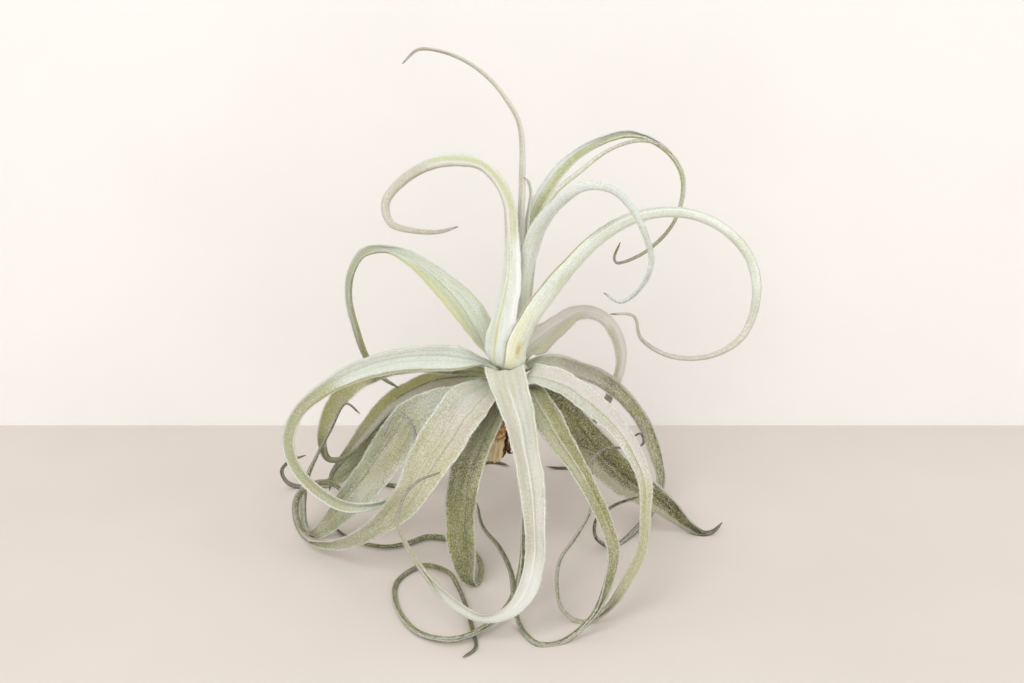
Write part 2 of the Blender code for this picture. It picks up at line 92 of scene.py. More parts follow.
def lightStudio():
    world = bpy.data.worlds.new("studioSky")
    world.use_nodes = True
    tree = world.node_tree
    sky = tree.nodes["Background"]
    sky.inputs["Color"].default_value = srgb(studio["skyColour"])
    seen = addNode(tree, "ShaderNodeLightPath").outputs["Is Camera Ray"]
    # seen directly, the sky is as pale as the wall
    strength = addNode(tree, "ShaderNodeMapRange", {
        "Value": seen, "To Min": studio["skyStrength"], "To Max": studio["seenSkyStrength"]})
    tree.links.new(strength.outputs["Result"], sky.inputs["Strength"])
    bpy.context.scene.world = world
    addLight("keyLight", studio["keyPlace"], studio["keySize"], studio["keyPower"])
    addLight("fillLight", studio["fillPlace"], studio["fillSize"], studio["fillPower"])
    bpy.context.scene.view_settings.view_transform = "Standard"


# small helpers for node trees
def addNode(tree, kind, inputs=None, **settings):
    made = tree.nodes.new(kind)
    for key, value in settings.items():
        setattr(made, key, value)
    for key, value in (inputs or {}).items():
        if isinstance(value, bpy.types.NodeSocket):
            tree.links.new(value, made.inputs[key])
        else:
            made.inputs[key].default_value = value
    return made


def calc(tree, operation, first, second=0.0, clamp=False):
    made = addNode(tree, "ShaderNodeMath", {0: first, 1: second}, operation=operation,
                   use_clamp=clamp)
    return made.outputs[0]


def multiply(tree, first, second):
    return calc(tree, "MULTIPLY", first, second)


def weighed(tree, first, firstWeight, second, secondWeight):
    return calc(tree, "ADD", multiply(tree, first, firstWeight),
                multiply(tree, second, secondWeight))


def swing(tree, value, amount):
    # from 0 to 1 into plus and minus half of the amount
    return multiply(tree, calc(tree, "SUBTRACT", value, 0.5), amount)


def easeBetween(tree, value, low, high, toLow=0.0, toHigh=1.0):
    made = addNode(tree, "ShaderNodeMapRange", {
        "Value": value, "From Min": low, "From Max": high, "To Min": toLow, "To Max": toHigh},
        interpolation_type="SMOOTHSTEP")
    return made.outputs["Result"]


def mixColour(tree, factor, first, second, blend="MIX"):
    made = addNode(tree, "ShaderNodeMix", {0: factor, 6: first, 7: second}, data_type="RGBA",
                   blend_type=blend)
    return made.outputs[2]


def paintOver(tree, colour, mask, paint, blend="MIX"):
    return mixColour(tree, mask, colour, srgb(paint), blend)


def readAttribute(tree, name, output="Fac"):
    return addNode(tree, "ShaderNodeAttribute", attribute_name=name).outputs[output]


def noiseAt(tree, vector, stretch, detail=2.0, roughness=0.5):
    # stretch: size of the pattern along each axis of the vector
    scaled = addNode(tree, "ShaderNodeVectorMath", {0: vector, 1: tuple(1 / s for s in stretch)},
                     operation="MULTIPLY")
    made = addNode(tree, "ShaderNodeTexNoise", {
        "Vector": scaled.outputs[0], "Scale": 1.0, "Detail": detail, "Roughness": roughness})
    return made.outputs["Fac"]


def newGroup(name, inputs, outputs):
    tree = bpy.data.node_groups.new(name, "ShaderNodeTree")
    for label, kind, default in inputs:
        socket = tree.interface.new_socket(label, in_out="INPUT", socket_type=kind)
        socket.default_value = default
    for label, kind in outputs:
        tree.interface.new_socket(label, in_out="OUTPUT", socket_type=kind)
    return tree, tree.nodes.new("NodeGroupInput").outputs, tree.nodes.new("NodeGroupOutput").inputs


def useGroup(tree, group, inputs):
    return addNode(tree, "ShaderNodeGroup", inputs, node_tree=group).outputs


def newMaterial(name):
    material = bpy.data.materials.new(name)
    material.use_nodes = True
    return material, material.node_tree, material.node_tree.nodes["Principled BSDF"]


def finishShader(tree, shader, colour, roughness, specular):
    tree.links.new(colour, shader.inputs["Base Color"])
    tree.links.new(roughness, shader.inputs["Roughness"])
    shader.inputs["Specular IOR Level"].default_value = specular


def addRelief(tree, shader, height, strength, depthMm):
    bump = addNode(tree, "ShaderNodeBump", {
        "Height": height, "Strength": strength, "Distance": depthMm * mm})
    tree.links.new(bump.outputs[0], shader.inputs["Normal"])


# effects that several finishes share
def makeFrostGroup():
    # the coat of pale scales: how much of the skin it covers, and how far it stands up
    tree, given, result = newGroup("frostCoat", [
        ("Position", "NodeSocketVector", (0, 0, 0)), ("Amount", "NodeSocketFloat", 0.5),
        ("Speckle", "NodeSocketFloat", 0.5), ("Patches", "NodeSocketFloat", 0.5),
        ("Edge", "NodeSocketFloat", 0.0), ("Edge Amount", "NodeSocketFloat", 0.5)],
        [("Cover", "NodeSocketFloat"), ("Height", "NodeSocketFloat")])
    fine = noiseAt(tree, given["Position"], (0.32, 0.42, 0.32), detail=1.0)
    coarse = noiseAt(tree, given["Position"], (0.75, 2.0, 0.75), detail=2.0)
    grain = weighed(tree, fine, 0.85, coarse, 0.15)
    sharpGrain = easeBetween(tree, grain, 0.42, 0.6, -0.5, 0.5)
    patch = noiseAt(tree, given["Position"], (3.6, 14.0, 3.6), detail=3.0)
    patchSwing = easeBetween(tree, patch, 0.3, 0.7, -0.5, 0.5)
    cover = calc(tree, "ADD", given["Amount"], multiply(tree, sharpGrain, given["Speckle"]))
    cover = calc(tree, "ADD", cover, multiply(tree, patchSwing, given["Patches"]))
    # the white margin is broken up, like short hairs
    marginNoise = noiseAt(tree, given["Position"], (0.6, 0.75, 0.6), detail=1.0)
    notches = easeBetween(tree, marginNoise, 0.38, 0.6, 0.15, 1.0)
    edge = multiply(tree, easeBetween(tree, given["Edge"], 0.91, 0.99), notches)
    cover = calc(tree, "ADD", cover, multiply(tree, edge, given["Edge Amount"]), clamp=True)
    tree.links.new(cover, result["Cover"])
    tree.links.new(grain, result["Height"])
    return tree


def makeVeinGroup():
    # lines and wider bands that run the length of the blade and close in with its margins
    tree, given, result = newGroup("lengthwiseVeins", [
        ("Position", "NodeSocketVector", (0, 0, 0)), ("Crosswise", "NodeSocketFloat", 0.0),
        ("Half Width", "NodeSocketFloat", 5.0)],
        [("Lines", "NodeSocketFloat"), ("Bands", "NodeSocketFloat"), ("Cool", "NodeSocketFloat")])
    split = addNode(tree, "ShaderNodeSeparateXYZ", {0: given["Position"]})
    across = multiply(tree, given["Crosswise"], given["Half Width"])
    for label, spacing, length, detail, low, high in (
            ("Lines", 0.42, 30.0, 1.5, 0.34, 0.66), ("Bands", 1.25, 42.0, 1.0, 0.34, 0.66),
            ("Cool", 2.3, 36.0, 1.0, 0.38, 0.62)):
        space = addNode(tree, "ShaderNodeCombineXYZ", {
            0: calc(tree, "DIVIDE", across, spacing),
            1: calc(tree, "DIVIDE", split.outputs[1], length),
            2: calc(tree, "ADD", split.outputs[2], spacing * 9)})
        wave = addNode(tree, "ShaderNodeTexNoise", {
            "Vector": space.outputs[0], "Scale": 1.0, "Detail": detail})
        tree.links.new(easeBetween(tree, wave.outputs["Fac"], low, high), result[label])
    return tree


def makeStripeGroup():
    # one soft stripe along the blade, between two shares of its length
    tree, given, result = newGroup("leafStripe", [
        ("Crosswise", "NodeSocketFloat", 0.0), ("Share", "NodeSocketFloat", 0.0),
        ("Centre", "NodeSocketFloat", 0.0), ("Half Width", "NodeSocketFloat", 0.2),
        ("From", "NodeSocketFloat", 0.0), ("To", "NodeSocketFloat", 1.0)],
        [("Mask", "NodeSocketFloat")])
    start, stop = given["From"], given["To"]
    away = calc(tree, "ABSOLUTE", calc(tree, "SUBTRACT", given["Crosswise"], given["Centre"]))
    core = multiply(tree, given["Half Width"], 0.35)
    across = easeBetween(tree, away, core, given["Half Width"], 1.0, 0.0)
    length = calc(tree, "SUBTRACT", stop, start)
    soft = calc(tree, "MINIMUM", multiply(tree, length, 0.6), 0.06)
    begins = easeBetween(tree, given["Share"], calc(tree, "SUBTRACT", start, soft), start)
    ends = easeBetween(tree, given["Share"], stop, calc(tree, "ADD", stop, soft), 1.0, 0.0)
    tree.links.new(multiply(tree, across, multiply(tree, begins, ends)), result["Mask"])
    return tree


def makeBlushGroup():
    # soft yellow, mint and mauve clouds
    tree, given, result = newGroup("blushClouds", [
        ("Position", "NodeSocketVector", (0, 0, 0)),
        ("Colour", "NodeSocketColor", (0.5, 0.5, 0.5, 1)), ("Yellow", "NodeSocketFloat", 0.3),
        ("Mint", "NodeSocketFloat", 0.3), ("Mauve", "NodeSocketFloat", 0.2)],
        [("Colour", "NodeSocketColor")])
    colour = given["Colour"]
    for label, size, low, paint in (("Yellow", (3.0, 13.0, 3.0), 0.46, (176, 172, 84)),
                                    ("Mint", (3.8, 10.0, 3.8), 0.5, (176, 192, 168)),
                                    ("Mauve", (4.0, 11.0, 4.0), 0.44, (190, 166, 160))):
        moved = addNode(tree, "ShaderNodeVectorMath", {
            0: given["Position"], 1: (size[1], 31.0, size[0])}, operation="ADD")
        cloud = easeBetween(tree, noiseAt(tree, moved.outputs[0], size), low, low + 0.2)
        colour = paintOver(tree, colour, multiply(tree, cloud, given[label]), paint)
    tree.links.new(colour, result["Colour"])
    return tree


# leaf finish
leafFinish = {
    "frostTint": (238, 236, 220), "coolFrost": (226, 233, 229), "hairColour": (246, 245, 236),
    "hairShade": (226, 228, 214), "hairTail": (168, 162, 144), "basePaint": (206, 214, 168),
    "veinPaint": (118, 122, 66), "veins": 0.3, "tipPaint": (128, 84, 60), "tipFrom": 0.985,
    "speckle": 0.42, "patches": 0.2, "bands": 0.13, "edgeFrost": 0.6, "edgeFrostTail": 0.3,
    "tailBare": 0.22, "yellow": 0.34, "mint": 0.3, "paleBase": 0.5, "paleBaseTo": 0.13,
    "cool": 0.25, "coolBands": 0.4, "frostBlush": 0.1, "tailFrom": 0.62, "tailTo": 0.97,
    "stripeSway": 0.16, "roughness": (0.62, 0.95), "reliefStrength": 0.75, "reliefMm": 0.18,
    "sheen": 0.2, "sheenRoughness": 0.45, "sheenTint": (1, 1, 0.96, 1), "specular": 0.25,
}


def leafMaterial(name, leaf):
    own = {**leafFinish, **leaf}  # what the leaf sets itself comes first
    material, tree, shader = newMaterial(name + "Skin")
    position = readAttribute(tree, "leafSpace", "Vector")
    topSide = readAttribute(tree, "topSide")
    share = readAttribute(tree, "share")
    crosswise = readAttribute(tree, "crosswise")
    fromMiddle = calc(tree, "ABSOLUTE", crosswise)
    tailShare = easeBetween(tree, share, own["tailFrom"], own["tailTo"])
    veins = useGroup(tree, lengthwiseVeins, {
        "Position": position, "Crosswise": crosswise,
        "Half Width": max(knot[3] for knot in leaf["spine"]) / 2})

    # skin: green to olive, pale at the base, the leaf's own colour along the tail
    skin = mixColour(tree, topSide, srgb(leaf["under"]), srgb(leaf["face"]))
    skin = useGroup(tree, blushClouds, {
        "Position": position, "Colour": skin, "Yellow": own["yellow"], "Mint": own["mint"],
        "Mauve": leaf["blush"]})["Colour"]
    nearBase = easeBetween(tree, share, 0.0, own["paleBaseTo"], own["paleBase"], 0.0)
    skin = paintOver(tree, skin, nearBase, own["basePaint"])
    skin = paintOver(tree, skin, tailShare, leaf["tail"])
    veinMask = multiply(tree, veins["Lines"], own["veins"])
    skin = paintOver(tree, skin, veinMask, own["veinPaint"], "MULTIPLY")

    # frost over the skin, thinner along the tail and thick at the margins
    amount = addNode(tree, "ShaderNodeMix", {
        0: topSide, 2: leaf["underFrost"], 3: leaf["frost"]}).outputs[0]
    amount = calc(tree, "SUBTRACT", amount, multiply(tree, tailShare, own["tailBare"]))
    amount = calc(tree, "ADD", amount, swing(tree, veins["Bands"], own["bands"]))
    edgeAmount = multiply(tree, easeBetween(tree, tailShare, 0.0, 1.0, 1.0, own["edgeFrostTail"]),
                          own["edgeFrost"])
    frost = useGroup(tree, frostCoat, {
        "Position": position, "Amount": amount, "Edge": fromMiddle, "Speckle": own["speckle"],
        "Patches": own["patches"], "Edge Amount": edgeAmount})
    frostColour = mixColour(tree, easeBetween(tree, fromMiddle, 0.9, 0.98), srgb(own["frostTint"]),
                            srgb(own["hairColour"]))
    coolShare = calc(tree, "ADD", multiply(tree, veins["Cool"], own["coolBands"]), own["cool"])
    frostColour = paintOver(tree, frostColour, coolShare, own["coolFrost"])
    colour = mixColour(tree, frost["Cover"], skin, frostColour)
    colour = useGroup(tree, blushClouds, {
        "Position": position, "Colour": colour, "Yellow": own["frostBlush"],
        "Mint": own["frostBlush"], "Mauve": leaf["blush"] * 0.5})["Colour"]

    # stripes along the blade, which waver a little
    sway = swing(tree, noiseAt(tree, position, (3.0, 9.0, 3.0)), own["stripeSway"])
    wavyCross = calc(tree, "ADD", crosswise, sway)
    underSide = calc(tree, "SUBTRACT", 1.0, topSide)
    for side, centre, half, start, stop, paint, strength in leaf.get("stripes", ()):
        mask = useGroup(tree, leafStripe, {
            "Crosswise": wavyCross, "Share": share, "Centre": centre, "Half Width": half,
            "From": start, "To": stop})["Mask"]
        if side != "both":
            mask = multiply(tree, mask, topSide if side == "face" else underSide)
        grainy = easeBetween(tree, frost["Height"], 0.35, 0.65, strength, strength * 0.7)
        colour = paintOver(tree, colour, multiply(tree, mask, grainy), paint)
    colour = paintOver(tree, colour, easeBetween(tree, share, own["tipFrom"], 1.0), own["tipPaint"])

    roughness = easeBetween(tree, frost["Cover"], 0.0, 1.0, *own["roughness"])
    finishShader(tree, shader, colour, roughness, own["specular"])
    addRelief(tree, shader, weighed(tree, frost["Height"], 0.55, veins["Lines"], 0.45),
              own["reliefStrength"], own["reliefMm"])
    shader.inputs["Sheen Weight"].default_value = own["sheen"]
    shader.inputs["Sheen Roughness"].default_value = own["sheenRoughness"]
    shader.inputs["Sheen Tint"].default_value = own["sheenTint"]
    return material


def hairMaterial():
    material, tree, shader = newMaterial("frostHairs")
    position = readAttribute(tree, "leafSpace", "Vector")
    clump = easeBetween(tree, noiseAt(tree, position, (1.6, 3.0, 1.6)), 0.3, 0.7)
    colour = mixColour(tree, clump, srgb(leafFinish["hairShade"]), srgb(leafFinish["hairColour"]))
    tailShare = easeBetween(tree, readAttribute(tree, "share"), 0.6, 1.0, 0.0, 0.6)
    colour = paintOver(tree, colour, tailShare, leafFinish["hairTail"])
    finishShader(tree, shader, colour, easeBetween(tree, clump, 0.0, 1.0, 0.8, 0.95), 0.2)
    return material


# stem frame, which every leaf is seated on
stem = {
    "lean": 9.0, "axisX": 2.0, "axisZ": 84.0, "cutAt": 39.0,
    # radius and height
    "profile": ((0.0, 86.0), (1.5, 85.4), (2.6, 83.0), (3.9, 78.0), (4.8, 72.0),
                (5.1, 64.0), (4.9, 54.0), (4.3, 44.0), (3.6, 39.0), (0.0, 39.0)),
}


def onAxis(points):
    # from the stem's own upright millimetres to the leaning stem
    points = np.asarray(points, float)
    lean = math.radians(stem["lean"])
    high = points[..., 2] - stem["axisZ"]
    x = points[..., 0] * math.cos(lean) + high * math.sin(lean) + stem["axisX"]
    z = -points[..., 0] * math.sin(lean) + high * math.cos(lean) + stem["axisZ"]
    return np.stack([x, points[..., 1], z], axis=-1)


def stemRadius(height):
    side = [p for p in stem["profile"] if p[0] > 0][::-1]
    return np.interp(height, [p[1] for p in side], [p[0] for p in side])


def onStem(angle, height, out):
    turn = np.radians(angle)
    reach = stemRadius(height) + out
    return onAxis(np.stack([reach * np.cos(turn), reach * np.sin(turn), height + 0 * reach],
                           axis=-1))


def findShift():
    # the stem's box in millimetres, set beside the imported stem, gives where the frame's origin lies
    turns = np.radians(np.arange(20) * 18.0)
    rings = [np.stack([radius * np.cos(turns), radius * np.sin(turns), height + 0 * turns], axis=1)
             for radius, height in stem["profile"]]
    own = onAxis(np.vstack(rings))
    low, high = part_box("stem")
    packed = (np.array(low) + np.array(high)) / 2
    return packed - (own.min(axis=0) + own.max(axis=0)) / 2 * mm


def toFrame(points):
    return np.asarray(points, float) * mm + groundShift


# leaf shape
bladeShape = {
    "clearance": 0.3, "seatSink": 0.4, "step": 0.85, "pathPoints": 24, "facePoints": 11,
    "twist": (0, 0.2), "vee": 0.25, "ridge": 0.16, "foldWaves": 1.5, "cupWander": 0.12, "hang": 0.4,
    "rollFrom": 4.7, "rollAt": 1.9, "shutAngle": 158.0, "leastRadius": 0.08,
    "thickness": 0.85, "slimThickness": (0.30, 0.08), "marginThinning": 0.62, "marginPower": 2.6,
    "rolledKeeps": 0.55, "edgeBulge": 0.42, "broadFrom": 4.5, "broadOver": 5,
    "rippleWaves": (31.0, 13.0, 6.1), "rippleHeight": 0.34, "rippleWidth": 0.045,
    "tipLength": 2.2, "leastWidth": 0.22, "firstDraw": 400, "noiseShift": 97.0, "sideShift": 40,
}
hairShape = {
    "sink": 0.06, "fringeEnds": (0.4, 0.3), "fringeStep": 0.24, "fringeJitter": 0.12,
    "fringeLength": (0.4, 1.0), "fringeGirth": 0.105, "fringeForward": (0.1, 0.8),
    "fringeOutward": 0.9, "fringeSpread": 0.33, "tuftSpacing": 0.5, "tuftRange": (0.1, 1.0),
    "tuftPower": 1.5, "tuftGain": 1.4, "scalesPerSquareMm": 2.4, "scalesByFrost": (0.55, 0.3),
    "scaleReach": 0.97, "scaleLength": (0.2, 0.42), "scaleGirth": 0.095, "scaleRise": (0.35, 1.0),
    "scaleForward": 0.75, "scaleSpread": 0.3,
}


def smoothPath(knots):
    # rows of a centripetal Catmull-Rom curve through rows of x, y, z and width
    rows = np.array(knots, float)
    rows = np.vstack([2 * rows[0] - rows[1], rows, 2 * rows[-1] - rows[-2]])
    gaps = np.linalg.norm(np.diff(rows[:, :3], axis=0), axis=1) ** 0.5
    times = np.concatenate([[0], np.cumsum(gaps)])
    path = []
    for i in range(1, len(rows) - 2):
        p = rows[i - 1:i + 3]
        t = times[i - 1:i + 3]
        for now in np.linspace(t[1], t[2], bladeShape["pathPoints"], endpoint=False):
            a = [(p[j] * (t[j + 1] - now) + p[j + 1] * (now - t[j])) / (t[j + 1] - t[j])
                 for j in range(3)]
            b = [(a[j] * (t[j + 2] - now) + a[j + 1] * (now - t[j])) / (t[j + 2] - t[j])
                 for j in range(2)]
            path.append((b[0] * (t[2] - now) + b[1] * (now - t[1])) / (t[2] - t[1]))
    path.append(rows[-2])
    return np.array(path)


def smoothStep(x):
    x = np.clip(x, 0, 1)
    return x * x * (3 - 2 * x)


def unit(v):
    return v / np.maximum(np.linalg.norm(v, axis=-1, keepdims=True), 1e-9)


def carriedFrames(points, firstUp):
    # tangents, and upper-face directions carried along the path without spinning
    tangents = unit(np.gradient(points, axis=0))
    ups = [unit(firstUp - tangents[0] * firstUp.dot(tangents[0]))]
    for tangent in tangents[1:]:
        ups.append(unit(ups[-1] - tangent * ups[-1].dot(tangent)))
    return tangents, np.array(ups)


def runningLength(points):
    # distance travelled at each point of a line
    return np.concatenate([[0], np.cumsum(np.linalg.norm(np.diff(points, axis=0), axis=1))])


def evenly(distance, values, stations):
    return np.stack([np.interp(stations, distance, column) for column in values.T], axis=1)


def ripple(distance, dice):
    waves = bladeShape["rippleWaves"]
    total = 0
    for wave in waves:
        phase = dice.uniform(0, 6.28)
        total = total + (wave / waves[0]) ** 0.5 * np.sin(2 * math.pi * distance / wave + phase)
    return total / 1.8


def bladeSections(width, shape, waveTop, waveLeft, waveRight):
    # around each section: under face, right margin, upper face, left margin
    count = shape["facePoints"]
    q = np.sin(np.linspace(-1, 1, count) * math.pi / 2)[None, :]
    width = width[:, None]
    rollFrom, rollAt = shape["rollFrom"], shape["rollAt"]
    roll = smoothStep((rollFrom - width) / (rollFrom - rollAt))  # a narrow blade closes to a tube
    openAngle = 2 * np.arctan(2 * shape["cup"] * (1 + shape["cupWander"] * waveTop[:, None]))
    angle = openAngle + (math.radians(shape["shutAngle"]) - openAngle) * roll
    slimShare, slimLeast = shape["slimThickness"]
    thick = np.minimum(shape["thickness"], slimShare * width + slimLeast)
    reach = np.where(angle < math.pi / 2, np.sin(angle), 1.0)
    radius = np.maximum(width / 2 / reach - thick / 2 * roll, shape["leastRadius"])
    depth = radius * (1 - np.cos(angle))
    offset = (1 - roll) * shape["hang"] * depth + roll * radius
    turn = angle * q
    thinning = shape["marginThinning"] * np.abs(q) ** shape["marginPower"]
    wall = thick * (1 - thinning * (1 - shape["rolledKeeps"] * roll))
    broad = smoothStep((width - shape["broadFrom"]) / shape["broadOver"])
    foldLines = np.cos(2 * math.pi * shape["foldWaves"] * q) - 0.2
    keel = np.sqrt(q ** 2 + 0.012) - q ** 2 - 0.1
    wave = np.where(q < 0, waveLeft[:, None], waveRight[:, None])
    lift = shape["ridge"] * broad * foldLines * (1 - q ** 2)
    lift = lift + shape["vee"] * depth * (1 - roll) * keel
    lift = lift + wave * q ** 2 * broad * shape["rippleHeight"]

    def ring(out, theta):
        return np.stack([(radius + out) * np.sin(theta),
                         radius - (radius + out) * np.cos(theta) - offset], axis=2)

    under = ring(wall / 2, turn)
    upper = ring(-wall / 2, turn)
    under[:, :, 1] += lift
    upper[:, :, 1] += lift
    edges = []
    for sign in (1, -1):
        k = count - 1 if sign > 0 else 0
        middle = (under[:, k] + upper[:, k]) / 2
        outward = np.stack([sign * np.cos(angle[:, 0]), np.sin(angle[:, 0])], axis=1)
        edges.append(middle + outward * wall[:, k:k + 1] * shape["edgeBulge"])
    sections = np.concatenate([under, edges[0][:, None], upper[:, ::-1], edges[1][:, None]], axis=1)
    arc = angle * radius
    acrossMm = np.concatenate([arc * q, arc, (arc * q)[:, ::-1], -arc], axis=1)
    crosswise = np.concatenate([q, [[1.0]], q[:, ::-1], [[-1.0]]], axis=1) + 0 * acrossMm
    topSide = np.concatenate([0 * q, [[0.5]], 0 * q + 1, [[0.5]]], axis=1) + 0 * acrossMm
    return sections, acrossMm, crosswise, topSide


def tubeFaces(rings, around):
    # quads between closed rings of points, ring after ring
    i, k = np.meshgrid(np.arange(rings - 1), np.arange(around), indexing="ij")
    following = (k + 1) % around
    return np.stack([i * around + k, (i + 1) * around + k, (i + 1) * around + following,
                     i * around + following], axis=2).reshape(-1, 4)


def sectionFaces(stations, around):
    # the blade's quads, and strips that close its two ends
    count = bladeShape["facePoints"]
    caps = []
    for start, turned in ((0, False), ((stations - 1) * around, True)):
        for j in range(count - 1):
            cap = [start + j, start + j + 1, start + 2 * count - 1 - j, start + 2 * count - j]
            caps.append(cap[::-1] if turned else cap)
        for cap in ([start + count - 1, start + count, start + count + 1],
                    [start + 2 * count, start + 2 * count + 1, start]):
            caps.append(cap[::-1] if turned else cap)
    return tubeFaces(stations, around), caps


def spikes(roots, directions, lengths, girths, dice):
    # small closed three-sided spikes, each sunk a little into what it grows from
    count = len(roots)
    helper = unit(dice.normal(size=(count, 3)))
    sideA = unit(np.cross(directions, helper))
    sideB = np.cross(directions, sideA)
    sunk = roots - directions * hairShape["sink"]
    points = np.empty((count, 4, 3))
    for corner in range(3):
        turn = 2 * math.pi * corner / 3
        sideways = sideA * math.cos(turn) + sideB * math.sin(turn)
        points[:, corner] = sunk + sideways * girths[:, None]
    points[:, 3] = roots + directions * lengths[:, None]
    base = np.arange(count)[:, None] * 4
    corners = ((0, 2, 1), (0, 1, 3), (1, 2, 3), (2, 0, 3))
    faces = np.concatenate([base + np.array(face) for face in corners])
    return points.reshape(-1, 3), faces


def between(grid, station, around):
    # values at fractional stations and whole places round the section
    low = np.clip(np.floor(station).astype(int), 0, len(grid) - 2)
    part = (station - low)[:, None] if grid.ndim == 3 else station - low
    return grid[low, around] * (1 - part) + grid[low + 1, around] * part


def growFringe(grid, tangents, width, acrossMm, along, dice):
    # hairs along both margins, longer and shorter in tufts
    count = bladeShape["facePoints"]
    total = along[-1]
    numbers = np.arange(len(along))
    roots, ways, lengths, spaces = [], [], [], []
    for margin, inner in ((count, (count - 2, count + 2)), (2 * count + 1, (1, 2 * count - 1))):
        first, last = hairShape["fringeEnds"]
        places = np.arange(first, total - last, hairShape["fringeStep"])
        jitter = hairShape["fringeJitter"]
        places = places + dice.uniform(-jitter, jitter, len(places))
        station = np.interp(places, along, numbers)

        def at(values, around):
            return between(values, station, np.full(len(station), around))

        root = at(grid, margin)
        inside = (at(grid, inner[0]) + at(grid, inner[1])) / 2
        forward = np.stack([np.interp(station, numbers, c) for c in tangents.T], axis=1)
        lean = dice.uniform(*hairShape["fringeForward"], (len(root), 1))
        way = unit(unit(root - inside) * hairShape["fringeOutward"] + forward * lean +
                   dice.normal(size=root.shape) * hairShape["fringeSpread"])
        wide = np.interp(station, numbers, width)
        spacing = hairShape["tuftSpacing"]
        tufts = dice.uniform(*hairShape["tuftRange"], int(total / spacing) + 2)
        tufts = tufts ** hairShape["tuftPower"] * hairShape["tuftGain"]
        tuft = np.interp(places / spacing, np.arange(len(tufts)), tufts)
        length = dice.uniform(*hairShape["fringeLength"], len(root))
        roots.append(root)
        ways.append(way)
        lengths.append(length * np.clip(0.35 + wide / 7, 0.4, 1) * tuft)
        spaces.append(np.stack([at(acrossMm, margin), places], axis=1))
    spaces = np.vstack(spaces)
    lengths = np.concatenate(lengths)
    girths = np.full(len(lengths), hairShape["fringeGirth"])
    return np.vstack(roots), np.vstack(ways), lengths, girths, spaces, spaces[:, 1] / total


def growScales(grid, width, acrossMm, along, frost, dice):
    # raised scales over both faces, more of them on a whiter leaf
    count = bladeShape["facePoints"]
    around = np.maximum(width, 1.4) * 2.2  # both faces with their curve
    area = np.concatenate([[0], np.cumsum((around[1:] + around[:-1]) / 2 * np.diff(along))])
    always, byFrost = hairShape["scalesByFrost"]
    wanted = int(area[-1] * hairShape["scalesPerSquareMm"] * (always + byFrost * frost))
    places = np.interp(dice.uniform(0, area[-1], wanted), area, along)
    station = np.interp(places, along, np.arange(len(along)))
    upper = dice.uniform(size=wanted) < 0.5
    q = dice.uniform(-hairShape["scaleReach"], hairShape["scaleReach"], wanted)
    slot = (np.arcsin(q) / (math.pi / 2) + 1) / 2 * (count - 1)
    first = np.clip(np.floor(slot).astype(int), 0, count - 2)
    part = (slot - first)[:, None]
    lowIndex = np.where(upper, 2 * count - first, first)
    highIndex = np.where(upper, 2 * count - first - 1, first + 1)
    root = between(grid, station, lowIndex) * (1 - part) + between(grid, station, highIndex) * part
    ahead = unit(between(grid, np.minimum(station + 0.5, len(along) - 1.01), lowIndex) -
                 between(grid, np.maximum(station - 0.5, 0), lowIndex))
    rightward = unit(between(grid, station, highIndex) - between(grid, station, lowIndex))
    normal = unit(np.cross(rightward, ahead)) * np.where(upper, 1, -1)[:, None]
    rise = dice.uniform(*hairShape["scaleRise"], (wanted, 1))
    way = unit(normal * rise + ahead * hairShape["scaleForward"] +
               dice.normal(size=root.shape) * hairShape["scaleSpread"])
    length = dice.uniform(*hairShape["scaleLength"], wanted)
    across = between(acrossMm, station, lowIndex)
    girths = np.full(wanted, hairShape["scaleGirth"])
    return root, way, length, girths, np.stack([across, places], axis=1), places / along[-1]


def meshObject(name, points, quads, loose, materials, materialIndex, attributes):
    # points in metres; quads is an array, loose holds faces with other numbers of corners
    faces = [tuple(q) for q in quads.tolist()] + [tuple(f) for f in loose]
    mesh = bpy.data.meshes.new(name)
    mesh.from_pydata(points.tolist(), [], faces)
    for material in materials:
        mesh.materials.append(material)
    mesh.polygons.foreach_set("material_index", np.asarray(materialIndex, np.int32))
    mesh.shade_smooth()
    for label, values in attributes.items():
        kind = "FLOAT_VECTOR" if values.ndim == 2 else "FLOAT"
        layer = mesh.attributes.new(label, kind, "POINT")
        field = "vector" if values.ndim == 2 else "value"
        layer.data.foreach_set(field, values.astype(np.float32).ravel())
    mesh.update()
    obj = bpy.data.objects.new(name, mesh)
    bpy.context.scene.collection.objects.link(obj)
    return obj


def standIn(node, ending, points, quads, loose, materials, materialIndex, attributes):
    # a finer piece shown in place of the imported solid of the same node
    obj = meshObject(node + ending, points, quads, loose, materials, materialIndex, attributes)
    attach(obj, "root")
    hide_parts(node)
    return obj


